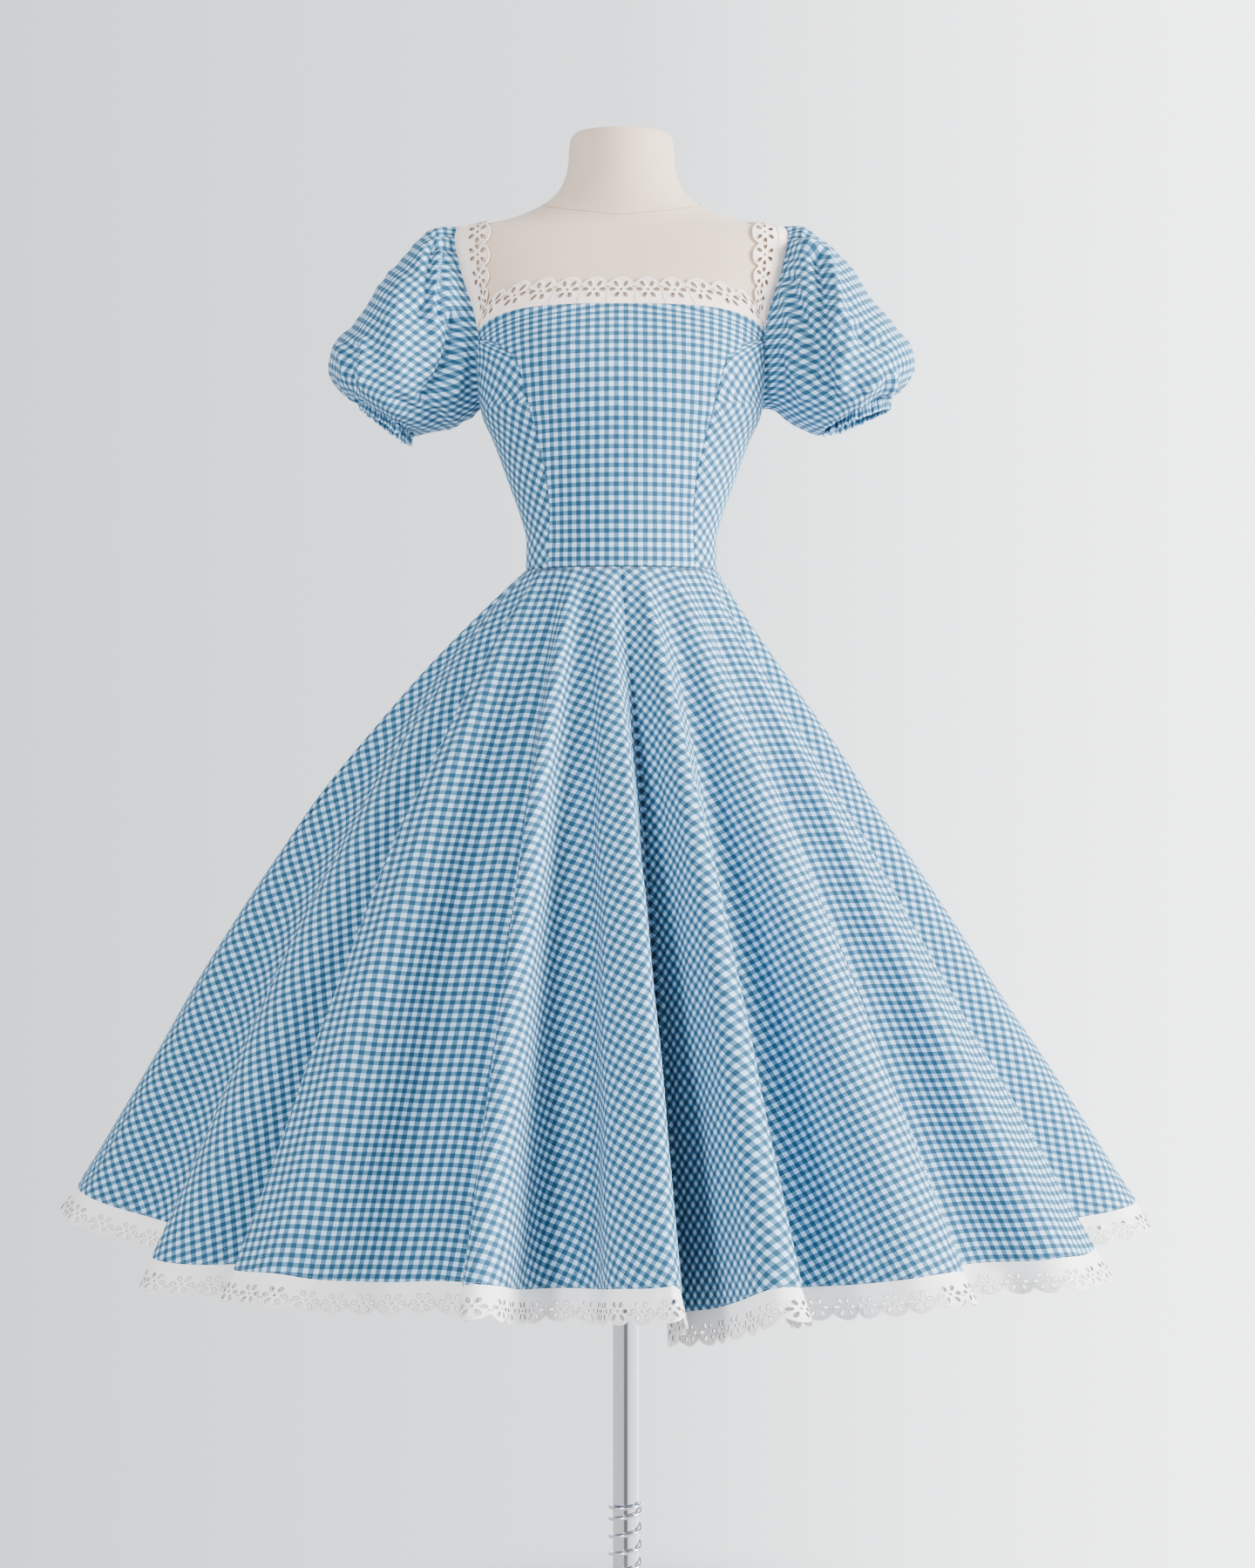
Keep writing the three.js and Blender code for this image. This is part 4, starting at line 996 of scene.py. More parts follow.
def inside_loop(points, loop):
    """Which points lie within a closed loop that bulges outwards all round."""
    inside = np.ones(len(points), bool)
    x, y = points.T
    for (from_x, from_y), (to_x, to_y) in zip(loop, np.roll(loop, -1, axis=0)):
        side = (to_x - from_x) * (y - from_y) - (to_y - from_y) * (x - from_x)
        inside &= side > 0
    return inside


def edging_piece(name, place, repeats, length, height, material, edging,
                 inside=(0, 0, 1300)):
    """Repeat the tile along a piece. place(along, across, lift) gives points of the piece."""
    width = length / repeats
    tile, marks, triangles = eyelet_tile(width, height, edging.rim / MM)
    used = np.unique(triangles)
    renumber = np.full(len(tile), -1)
    renumber[used] = np.arange(len(used))
    tile, marks, triangles = tile[used], marks[used], renumber[triangles]
    starts = np.arange(repeats)
    flat = np.concatenate([tile + (width * i, 0) for i in starts])
    relief, shade = np.tile(marks, (repeats, 1)).T
    faces = np.concatenate([triangles + len(tile) * i for i in starts])
    points = place(flat[:, 0] / length, flat[:, 1], relief)
    piece = make_object(name, points, faces, material, flat, inside=inside)
    # The shade attribute holds painted shade round the holes, the dots and the border
    layer = piece.data.attributes.new("shade", "FLOAT", "POINT")
    layer.data.foreach_set("value", shade.astype(np.float32))
    merge_points(piece, 0.05)
    return thicken(piece, edging.thickness)


# Operators

class DRESS_OT_studio(bpy.types.Operator):
    """Make the floor, the lights and the camera."""

    bl_idname = "dress.studio"
    bl_label = "Studio"

    # Brightness of the walls by degrees from the camera's side towards the right
    WALLS = table("turn brightness", (
        (-180, 2.0), (-167, 1.35), (-110, 1.15), (-45, 1.15), (-20, 1.1), (-12, 0.3),
        (12, 0.3), (22, 1.8), (45, 2.2), (60, 2.5), (90, 2.7), (167, 4.8), (180, 2.0),
    ))
    WINDOW = 1.95              # brightness behind the camera, from just below the horizon up
    CEILING = 0.6              # brightness overhead
    FILL_SHARE = 0.16          # of the key's power
    AIM = Vector((0, 0, 1.15))    # where both lights point
    SENSOR = 36.0              # longer side of the frame, in millimetres
    FOCAL_LENGTH = 70.04
    FRAME_SHIFT = -0.0275      # share of the frame's longer side, downwards

    def execute(self, context):
        studio = context.scene.dress_studio
        self.surround(context, studio)
        self.floor()
        self.lights(studio)
        self.camera(context, studio)
        return {"FINISHED"}

    def surround(self, context, studio):
        """Pale walls all round, brightest behind the dress, and a window behind the camera."""
        world = bpy.data.worlds.new("pale studio")
        context.scene.world = world
        world.use_nodes = True
        tree = world.node_tree
        shader = tree.nodes["Background"]
        place = tree.nodes.new("ShaderNodeTexCoord")
        parts = add_node(tree, "ShaderNodeSeparateXYZ", {0: place.outputs["Generated"]})
        front = add_node(tree, "ShaderNodeMath", {0: parts.outputs[1], 1: -1.0},
                         operation="MULTIPLY")
        turn = add_node(tree, "ShaderNodeMath", {0: parts.outputs[0], 1: front.outputs[0]},
                        operation="ARCTAN2")
        share = add_node(tree, "ShaderNodeMapRange", {
            "Value": turn.outputs[0], "From Min": -math.pi, "From Max": math.pi})
        ramp = add_node(tree, "ShaderNodeValToRGB", {0: share.outputs[0]})
        stops = ramp.color_ramp.elements
        stops.remove(stops[1])
        brightest = self.WALLS["brightness"].max()
        for number, (degrees, level) in enumerate(zip(*self.WALLS.values())):
            stop = stops[0] if number == 0 else stops.new(degrees / 360 + 0.5)
            stop.color = (*[level / brightest * tint for tint in (0.965, 1.0, 1.04)], 1)
        ahead = add_node(tree, "ShaderNodeMapRange", {
            "Value": front.outputs[0], "From Min": 0.25, "From Max": 0.75},
            interpolation_type="SMOOTHSTEP")
        above = add_node(tree, "ShaderNodeMapRange", {
            "Value": parts.outputs[2], "From Min": -0.16, "From Max": -0.02},
            interpolation_type="SMOOTHSTEP")
        both = add_node(tree, "ShaderNodeMath", {0: ahead.outputs[0], 1: above.outputs[0]},
                        operation="MULTIPLY")
        window, ceiling = self.WINDOW / brightest, self.CEILING / brightest
        room = add_node(tree, "ShaderNodeMix", {
            "Factor": both.outputs[0], 6: ramp.outputs[0], 7: (window, window, window, 1)},
            data_type="RGBA")
        overhead = add_node(tree, "ShaderNodeMapRange", {
            "Value": parts.outputs[2], "From Min": 0.3, "From Max": 0.8},
            interpolation_type="SMOOTHSTEP")
        closed = add_node(tree, "ShaderNodeMix", {
            "Factor": overhead.outputs[0], 6: room.outputs[2],
            7: (ceiling, ceiling, ceiling, 1)}, data_type="RGBA")
        tree.links.new(closed.outputs[2], shader.inputs["Color"])
        shader.inputs["Strength"].default_value = studio.surround * brightest

    def floor(self):
        """Round patch of pale floor that fades out before its edge."""
        points, faces = lathe([(radius, -0.5) for radius in np.linspace(1600, 0, 33)], 64)
        material, tree, shader = new_material("matte studio floor")
        place = tree.nodes.new("ShaderNodeTexCoord")
        middle = add_node(tree, "ShaderNodeVectorMath", {0: place.outputs["Object"]},
                          operation="LENGTH")
        fade = add_node(tree, "ShaderNodeMapRange", {
            "Value": middle.outputs["Value"], "From Min": 0.22, "From Max": 0.62,
            "To Min": 1.0, "To Max": 0.0}, interpolation_type="SMOOTHSTEP")
        grain = add_node(tree, "ShaderNodeTexNoise", {
            "Vector": place.outputs["Object"], "Scale": 90.0, "Detail": 4.0})
        relief = add_node(tree, "ShaderNodeBump", {
            "Height": grain.outputs[0], "Distance": 0.0004, "Strength": 0.4})
        tree.links.new(relief.outputs[0], shader.inputs["Normal"])
        tree.links.new(fade.outputs[0], shader.inputs["Alpha"])
        set_shader(shader, Base_Color=(*srgb("9c9ea1"), 1), Roughness=0.9)
        make_object("floor", points, faces, material, worn=False)

    def lights(self, studio):
        """Large soft key from the right, high up, and a narrow fill left of the camera."""
        for name, place, size, power, colour in (
            ("key", (4.2, -1.35, 2.3), (2.0, 2.2), studio.key, "fffefb"),
            ("fill", (-1.8, -3.5, 1.9), (0.4, 1.8), studio.key * self.FILL_SHARE, "f7fbff"),
        ):
            light = bpy.data.lights.new(name, "AREA")
            light.shape = "RECTANGLE"
            light.size, light.size_y = size
            light.energy = power
            light.color = srgb(colour)
            lamp = add_object(name, light)
            lamp.location = place
            aim = self.AIM - Vector(place)
            lamp.rotation_euler = aim.to_track_quat("-Z", "Y").to_euler()

    def camera(self, context, studio):
        """Level camera in front of the dress, its frame set a little lower than its axis."""
        lens = bpy.data.cameras.new("camera")
        lens.sensor_width = self.SENSOR
        lens.lens = self.FOCAL_LENGTH
        lens.shift_y = self.FRAME_SHIFT
        camera = add_object("camera", lens)
        camera.location = (0.002, -studio.distance, studio.eye_height)
        camera.rotation_euler = (math.pi / 2, 0, 0)
        context.scene.camera = camera


class DRESS_OT_form(bpy.types.Operator):
    """Make the dress form: its knitted cover, neck seam and knob."""

    bl_idname = "dress.form"
    bl_label = "Dress form"

    SIDES = 112
    # Rings of the cover: from a height to a height, and how many
    RINGS = ((1040, 1640, 80), (1641, 1712, 54), (1714, 1766, 16))
    CAP_Z = 1766.0
    CAP_ROUNDING = 6.0
    CAP_DEGREES = (25, 50, 75, 90)
    # Rings that close the ends, as shares of the last ring's size
    TOP_SHARES = (0.96, 0.85, 0.6, 0.3, 0.02)
    TOP_CROWN = 1.2
    BOTTOM_SHARES = (0.02, 0.5, 0.9)
    KNOB_Z = 1772.3
    KNOB_SIDES = 40
    # Outline of the knob: distance from its axis, height
    KNOB = ((0.05, 0.0), (3.9, 0.0), (4.0, 0.5), (4.0, 2.2), (3.6, 3.4), (2.6, 4.4),
            (1.4, 4.9), (0.05, 5.0))
    NECK_SEAM_Z = 1671.0       # at the front, and higher by the rise at the back
    NECK_SEAM_RISE = 34.0

    def execute(self, context):
        stand = context.scene.dress_stand
        cover = knitted_cover(stand.cover)
        cap = self.CAP_Z + self.CAP_ROUNDING * np.sin(np.radians(self.CAP_DEGREES))
        heights = np.concatenate([np.linspace(*span) for span in self.RINGS] + [cap])
        rings = form_point(full_turn(self.SIDES)[None, :], heights[:, None])
        top = np.stack([
            rings[-1] * (share, share, 1) + (0, 0, self.TOP_CROWN * (1 - share * share))
            for share in self.TOP_SHARES])
        bottom = np.stack([rings[0] * (share, share, 1) for share in self.BOTTOM_SHARES])
        points = np.concatenate([bottom, rings, top])
        faces = grid_faces(len(points), self.SIDES, wrapped=True)
        torso = make_object("form_cover", points, faces, cover, inside=(0, 0, 1400))
        finish_piece(torso, "form_torso")
        chrome = plated_metal("neck knob chrome", stand.chrome, 0.15, 0.03)
        points, faces = lathe([(radius, z + self.KNOB_Z) for radius, z in self.KNOB],
                              self.KNOB_SIDES)
        knob = make_object("neck_cap_knob", points, faces, chrome)
        finish_piece(knob, "neck_knob")
        self.neck_seam(stand)
        return {"FINISHED"}

    def neck_seam(self, stand):
        """Seam round the neck, sewn in the cover, its thread darkened to paint in the shade of
        the seam's groove.
        """
        # Painted shade: the thread is the cover's colour at about a third of its brightness,
        # standing in for the groove's shade
        thread = cotton_thread("cover seam thread", [part * 0.35 for part in stand.cover])
        angle = np.linspace(0, 2 * np.pi, 181)
        height = self.NECK_SEAM_Z + self.NECK_SEAM_RISE * np.abs(np.sin(angle / 2)) ** 1.2
        neck = lift_from_form(form_point(angle, height), STITCH_LIFT)
        seam = along_lines("form_neck_seam", [neck], stitch_tree(thread),
                           {"Spacing": 0.0021, "Length": 0.0021, "Thread": 0.0007})
        finish_detail(seam)


class DRESS_OT_stand(bpy.types.Operator):
    """Make the base, the hub, the pole and the spring round it."""

    bl_idname = "dress.stand"
    bl_label = "Stand"

    SIDES = 96
    AXIS = 0.05                # radius at which a turned shape closes on its axis
    FIT = 0.4                  # between the base and what stands on it
    BASE_RADIUS = 190.0
    BASE_TOP_Z = 10.0
    BASE_EDGE = 3.0
    HUB_RADIUS = 26.0
    HUB_BORE = 15.3
    HUB_EDGE = 4.0
    POLE_RADIUS = 15.0
    POLE_TOP_Z = 1039.6

    def execute(self, context):
        stand = context.scene.dress_stand
        chrome = plated_metal("polished chrome", stand.chrome, 0.08, 0.02)
        spring_steel = plated_metal("plated spring wire", stand.chrome, 0.22, 0.06)
        low, top, edge = self.BASE_TOP_Z + self.FIT, self.BASE_TOP_Z, self.BASE_EDGE
        corner, flat = self.BASE_RADIUS - edge, self.BASE_RADIUS - 2 * edge
        base = [(self.AXIS, 0.0), (60, 0.0), (flat, 0.0)]
        base += rounded(corner, edge, edge, -90) + rounded(corner, top - edge, edge, 0)
        base += [(flat, top - 0.05), (120, top), (60, top), (self.AXIS, top)]
        hub = [(self.HUB_BORE, low), (self.HUB_RADIUS, low)]
        hub += rounded(self.HUB_RADIUS - self.HUB_EDGE, HUB_TOP_Z - self.HUB_EDGE,
                       self.HUB_EDGE, 0)
        hub += [(self.HUB_BORE, HUB_TOP_Z), (self.HUB_BORE, low)]
        pole = [(self.AXIS, low)]
        pole += [(self.POLE_RADIUS, z) for z in (low, 400, 800, self.POLE_TOP_Z)]
        pole += [(self.AXIS, self.POLE_TOP_Z)]
        for name, profile, material, node, slot in (
            ("round_base", base, enamel(stand.base), "stand_base", "base_enamel"),
            ("pole_hub", hub, chrome, "stand_hub", "chrome"),
            ("chrome_pole", pole, chrome, "stand_pole", "chrome"),
        ):
            points, faces = lathe(profile, self.SIDES)
            piece = make_object(name, points, faces, material, worn=False)
            piece.data.set_sharp_from_angle(angle=math.radians(40))
            finish_piece(piece, node)
        turns = np.linspace(0, SPRING_TURNS, SPRING_TURNS * 40 + 1)
        low = HUB_TOP_Z + 0.3 + SPRING_WIRE
        high = SPRING_TOP_Z - SPRING_WIRE
        height = np.interp(turns, [0, 1, SPRING_TURNS - 1, SPRING_TURNS],
                           [low, low + SPRING_CLOSE_PITCH, high - SPRING_CLOSE_PITCH, high])
        angle = 2 * np.pi * turns
        path = np.stack([SPRING_RADIUS * np.cos(angle), SPRING_RADIUS * np.sin(angle), height],
                        -1)
        spring = along_lines("pole_spring", [path], wire_tree(spring_steel),
                             {"Radius": SPRING_WIRE * MM}, worn=False)
        finish_piece(spring, "stand_spring")
        return {"FINISHED"}


class DRESS_OT_bodice(bpy.types.Operator):
    """Make the seven panels of the bodice."""

    bl_idname = "dress.bodice"
    bl_label = "Bodice"

    # Drag lines of the front: place, half length, half width, height, slope
    DRAGS = table("x z long wide height slope", (
        (-12, 1496, 34, 3.5, 1.5, 0.12), (22, 1486, 40, 4.0, -1.4, -0.10),
        (-28, 1462, 30, 3.6, 1.4, 0.25), (30, 1452, 26, 3.2, 1.2, -0.22),
        (0, 1430, 30, 4.5, -1.0, 0.05), (-34, 1390, 24, 4.0, 1.2, 0.5),
        (40, 1384, 26, 4.0, 1.2, -0.5), (0, 1318, 46, 4.0, 1.2, 0.03),
        (-20, 1300, 50, 3.4, -1.2, -0.04), (24, 1287, 44, 3.0, 1.0, 0.05),
        (-58, 1512, 20, 4.0, 1.5, 0.7), (60, 1508, 20, 4.0, 1.5, -0.7),
    ))

    ALLOWANCES = 40.0          # of a panel's cut, above and below together
    ROWS = 90
    SIDE_ROWS = 84
    FRONT_COLUMNS = 100
    COLUMNS = 44
    SIDE_FRONT_GRAIN = 38      # turn of the grain, in degrees
    SIDE_BACK_GRAIN = -24

    def execute(self, context):
        cloth = context.scene.dress_cloth
        material = gingham_cotton(cloth)
        full = np.linspace(WAIST_Z, NECK_CORNER_Z, self.ROWS)
        side_rows = np.linspace(WAIST_Z, PRINCESS_SEAM["z"][-1], self.SIDE_ROWS)
        self.panel(cloth, material, "bodice_front", full, self.FRONT_COLUMNS,
                   self.front_place, 0)
        for side, word in ((-1, "left"), (1, "right")):
            for part, rows, place, grain in (
                ("side_front", side_rows, self.side_front_place, self.SIDE_FRONT_GRAIN),
                ("side_back", side_rows, self.side_back_place, self.SIDE_BACK_GRAIN),
                ("back", full, self.back_place, 0),
            ):
                self.panel(cloth, material, f"bodice_{part}_{word}", rows, self.COLUMNS,
                           place, side * grain, side)
        return {"FINISHED"}

    def scaled(self, seam_z, share):
        """Height at a share across, where the rows spread towards the neckline."""
        rise = (neck_height(share) - WAIST_Z) / (NECK_CORNER_Z - WAIST_Z)
        return WAIST_Z + (seam_z - WAIST_Z) * rise

    def front_place(self, z, share):
        """Angle and height on the centre front panel, at a height and a share across."""
        across = 2 * share - 1
        return across * panel_edge(z, "front"), self.scaled(z, across)

    def side_front_place(self, z, share):
        """Angle and height on the side front panel."""
        return lerp(princess_angle(z), armhole_angle(z, "front"), share), z + 0 * share

    def side_back_place(self, z, share):
        """Angle and height on the side back panel."""
        low, high = armhole_angle(z, "back"), princess_angle(z)
        return np.pi - lerp(low, high, share), z + 0 * share

    def back_place(self, z, share):
        """Angle and height on the centre back panel."""
        return np.pi - lerp(panel_edge(z, "back"), 0.0, share), self.scaled(z, 1 - share)

    def panel(self, cloth, material, name, rows, columns, place, grain, side=1):
        """Panel over the form between its two seams, its grain turned by some degrees."""
        share = np.linspace(0, 1, columns)
        z = rows[:, None]
        angle, height = place(z, share[None, :])
        angle, height = np.broadcast_arrays(side * angle, height)
        under = form_point(angle, height)
        normal = unit(form_gradient(under))
        steps = np.linalg.norm(np.diff(under, axis=1), axis=-1)
        across = np.concatenate([np.zeros((len(rows), 1)), np.cumsum(steps, axis=1)], axis=1)
        width = across[:, -1:]
        lift = BODICE_LIFT + tuck(share[None, :], np.maximum(width, 1))
        down = np.linspace(0, 1, len(rows))[:, None]
        lift = lift + tuck(down, rows[-1] - rows[0])
        lift = lift + self.relief(under)
        points = under + normal * lift[..., None]
        rise = np.concatenate([np.zeros((1, columns)), np.cumsum(
            np.linalg.norm(np.diff(under, axis=0), axis=-1), axis=0)])
        u, v = across - width / 2, rise - rise[len(rows) // 3].mean()
        turn = math.radians(grain)
        flat = np.stack([u * math.cos(turn) - v * math.sin(turn),
                         u * math.sin(turn) + v * math.cos(turn)], -1)
        faces = grid_faces(len(rows), columns)
        piece = make_object(name + "_cloth", points, faces, material, flat,
                            inside=(0, 0, 1400))
        thicken(piece, cloth.thickness)
        finish_piece(piece, name)

    def relief(self, points):
        """Height of the drag lines at points of the front."""
        total = np.zeros(points.shape[:-1])
        for x, z, long, wide, height, slope in zip(*self.DRAGS.values()):
            along = points[..., 0] - x
            off = points[..., 2] - z - slope * along
            total += height * bump(along, long) * bump(off, wide)
        return np.where(points[..., 1] < 0, total, 0)


class DRESS_OT_sleeves(bpy.types.Operator):
    """Make the two puff sleeves with their gathers, elastic and frill."""

    bl_idname = "dress.sleeves"
    bl_label = "Sleeves"

    COLUMNS = 224
    ALLOWANCE = 5.0
    ALLOWANCE_LIFT = 1.9       # of the allowance over the form, under the bodice
    CUT_WIDTH = 600.0
    ELASTIC = 8.0              # where the elastic lies, counted in rings from the armhole
    # Gathers: how many, half of the turn that they spread over, the ring that they start
    # from, their reach in rings, half width in radians, height
    GATHERS = ((22, 2.0, 0.0, 2.8, 0.085, 3.8), (38, math.pi, ELASTIC, 2.7, 0.060, 4.6))
    CRUMPLE_HEIGHTS = (1.1, 0.6)
    # Rows counted in rings: from, to and how many, the second lot at the elastic and frill
    ROWS = ((0, 6.9, 70), (6.98, 9.0, 28))
    FOLD_DEPTH = 25.0          # over which a fold rises to its full height on the front
    BACK_SHARE = 0.6           # of a fold's height, on the back

    def execute(self, context):
        cloth = context.scene.dress_cloth
        material = gingham_cotton(cloth)
        for side, word, rows, folds in (
            (-1, "left", LEFT_SLEEVE, LEFT_SLEEVE_FOLDS),
            (1, "right", RIGHT_SLEEVE, RIGHT_SLEEVE_FOLDS),
        ):
            self.sleeve(cloth, material, side, word, rows, folds)
        return {"FINISHED"}

    def rings(self, side, rows, turn):
        """Rings of the sleeve without its gathers, the armhole first."""
        edge = armhole_point(turn, side)
        edge = edge + unit(form_gradient(edge)) * (BODICE_LIFT - 0.4)
        rings = [edge]
        for out_x, out_z, under_x, under_z, depth in zip(*rows.values()):
            middle = np.array([(out_x + under_x) / 2, 0, (out_z + under_z) / 2])
            half = np.array([(out_x - under_x) / 2, 0, (out_z - under_z) / 2])
            points = middle - half * np.cos(turn)[:, None]
            points[:, 1] = -depth * np.sin(turn)
            rings.append(points)
        return np.stack(rings)

    def allowance(self, side, turn):
        """Edge of the sleeve's seam allowance, under the bodice and the strap."""
        edge = armhole_point(turn, side)
        away = unit((edge - (0, 0, ARMHOLE_Z)) * (0, 1, 1))
        return lift_from_form(edge + away * self.ALLOWANCE, self.ALLOWANCE_LIFT)

    def smooth(self, rings, at):
        """Smooth surface through the rings, at places counted in rings."""
        count = len(rings)
        gaps = np.linalg.norm(np.diff(rings, axis=0), axis=-1).mean(1)
        slope = np.diff(rings, axis=0) / gaps[:, None, None]
        weight = gaps[1:] / (gaps[1:] + gaps[:-1])
        middle = lerp(slope[1:], slope[:-1], weight[:, None, None])
        tangent = np.concatenate([slope[:1], middle, slope[-1:]])
        i = np.clip(at.astype(int), 0, count - 2)
        t = (at - i)[:, None, None]
        u = 1 - t
        span = gaps[i][:, None, None]
        points = rings[i] * u * u * (1 + 2 * t) + rings[i + 1] * t * t * (1 + 2 * u)
        return points + span * t * u * (u * tangent[i] - t * tangent[i + 1])

    def length_below(self, points):
        """Length of the cloth from each point down to the sleeve's lower edge."""
        steps = np.linalg.norm(np.diff(points, axis=0), axis=-1)
        return np.concatenate([np.cumsum(steps[::-1], axis=0)[::-1], np.zeros_like(steps[:1])])

    def gathers(self, turn, at, seed):
        """Small folds from the armhole seam and above the elastic, each with its own reach."""
        chance = np.random.default_rng(seed)
        total = np.zeros((len(at), len(turn)))
        for count, spread, seam, reach, width, height in self.GATHERS:
            for number in range(count):
                place = (number + chance.uniform(0.1, 0.9)) / count
                middle = np.pi + spread * (2 * place - 1)
                own_reach = reach * chance.uniform(0.35, 1.0)
                own_height = height * chance.uniform(0.5, 1.0)
                sway = chance.uniform(-0.10, 0.10)
                away = np.abs(at - seam)
                off = turn[None, :] - middle - sway * away[:, None]
                off = (off + np.pi) % (2 * np.pi) - np.pi
                broad = width * (1 + 0.9 * away / reach)
                fade = np.clip(1 - away / own_reach, 0, 1) ** 1.2
                if seam == self.ELASTIC:
                    fade = np.where(at > self.ELASTIC, 1.0, fade)
                total += own_height * fade[:, None] * bump(off, broad[:, None])
        total -= total.mean(axis=1, keepdims=True)
        total *= 1 - 0.55 * bump(at - self.ELASTIC, 0.25)[:, None]
        return total

    def fold_lines(self, points, folds):
        """Height of the larger folds, drawn as lines on the sleeve's front."""
        total = np.zeros(points.shape[:-1])
        seen = points[..., ::2]
        for height, width, places in folds:
            nearest = np.full(points.shape[:-1], 1e9)
            for first, last in zip(places, places[1:]):
                line = np.subtract(last, first)
                length = np.linalg.norm(line)
                along = ((seen - first) @ line) / length
                beyond = np.maximum(0, np.maximum(-along, along - length))
                foot = np.clip(along, 0, length)[..., None] * line / length
                away = np.linalg.norm(seen - first - foot, axis=-1)
                nearest = np.minimum(nearest, np.hypot(away, 0.4 * beyond))
            total += height * bump(nearest, width)
        front = np.clip(-points[..., 1] / self.FOLD_DEPTH, -1, 1)
        return total * np.where(front > 0, front, self.BACK_SHARE * np.abs(front))

    def crumple(self, points):
        """Small uneven waves of unpressed cotton."""
        x, y, z = points[..., 0], points[..., 1], points[..., 2]
        first = np.sin(x / 7 + 2.4 * np.sin(z / 23)) * np.sin(z / 12 + 1.9 * np.sin(y / 27))
        second = np.sin((x + z) / 5 + 1.6 * np.sin(y / 15)) * np.sin((x - z) / 21)
        return self.CRUMPLE_HEIGHTS[0] * first + self.CRUMPLE_HEIGHTS[1] * second

    def sleeve(self, cloth, material, side, word, rows, folds):
        """One sleeve, from its seam allowance to its frill, closed along the underarm."""
        turn = full_turn(self.COLUMNS)
        at = np.concatenate([np.linspace(*span) for span in self.ROWS])
        points = self.smooth(self.rings(side, rows, turn), at)
        below = self.length_below(points)
        round_step = np.roll(points, -1, axis=1) - np.roll(points, 1, axis=1)
        normal = unit(np.cross(round_step, np.gradient(points, axis=0)))
        middle = points.mean(axis=1, keepdims=True)
        outwards = np.sign((normal * (points - middle)).sum(-1).mean())
        normal = normal * outwards
        relief = self.gathers(turn, at, 11 if side < 0 else 5)
        relief += self.crumple(points) * np.clip(at, 0, 1)[:, None]
        relief += self.fold_lines(points, folds) * np.clip(at * 1.4, 0, 1)[:, None]
        points = points + normal * relief[..., None]
        points = np.concatenate([self.allowance(side, turn)[None], points])
        v = np.concatenate([below[:1] + self.ALLOWANCE, below])
        u = (turn - np.pi) / (2 * np.pi) * self.CUT_WIDTH
        flat = np.stack(np.broadcast_arrays(u[None, :], v), -1)
        seam_points = np.concatenate([points, points[:, :1]], axis=1)
        seam_flat = np.concatenate([flat, flat[:, :1] + (self.CUT_WIDTH, 0)], axis=1)
        faces = grid_faces(len(points), len(turn) + 1)
        name = f"sleeve_{word}"
        piece = make_object(name + "_cloth", seam_points, faces, material, seam_flat,
                            inside=(side * 240, 0, 1510))
        merge_points(piece, 0.02)
        thicken(piece, cloth.thickness)
        finish_piece(piece, name)


class DRESS_OT_skirt(bpy.types.Operator):
    """Make the four gores of the circle skirt."""

    bl_idname = "dress.skirt"
    bl_label = "Skirt"

    COLUMNS = 224
    SEAM_TUCK = 1.2
    HEM_EDGE = 0.004           # share of the length where the rows lie closer, at the hem
    HEM_TUCK = 0.8

    def execute(self, context):
        cloth = context.scene.dress_cloth
        material = gingham_cotton(cloth)
        edge = BLUE_SHARE - self.HEM_EDGE
        down = np.concatenate([np.linspace(0, 0.03, 4)[:-1], np.linspace(0.03, edge, 56)[:-1],
                               np.linspace(edge, BLUE_SHARE, 3)])
        for word, start in GORES:
            share = np.linspace(start, start + 0.25, self.COLUMNS)
            across = (share - start) / 0.25
            seam_length = HEM_LENGTH / 4 * np.maximum(down, 0.1)[:, None]
            lift = tuck(across[None, :], seam_length, self.SEAM_TUCK)
            lift = lift - self.HEM_TUCK * bump(down[:, None] - BLUE_SHARE, 0.0012)
            points = skirt_point(share[None, :], down[:, None], lift)
            radius = lerp(FLAT_WAIST_RADIUS, FLAT_HEM_RADIUS, down)[:, None]
            angle = (across[None, :] - 0.5) * np.pi / 2
            flat = np.stack([radius * np.sin(angle), -radius * np.cos(angle)], -1)
            faces = grid_faces(len(down), len(share))
            name = f"skirt_{word}"
            piece = make_object(name + "_cloth", points, faces, material, flat,
                                inside=(0, 0, 900))
            thicken(piece, cloth.thickness)
            finish_piece(piece, name)
        return {"FINISHED"}


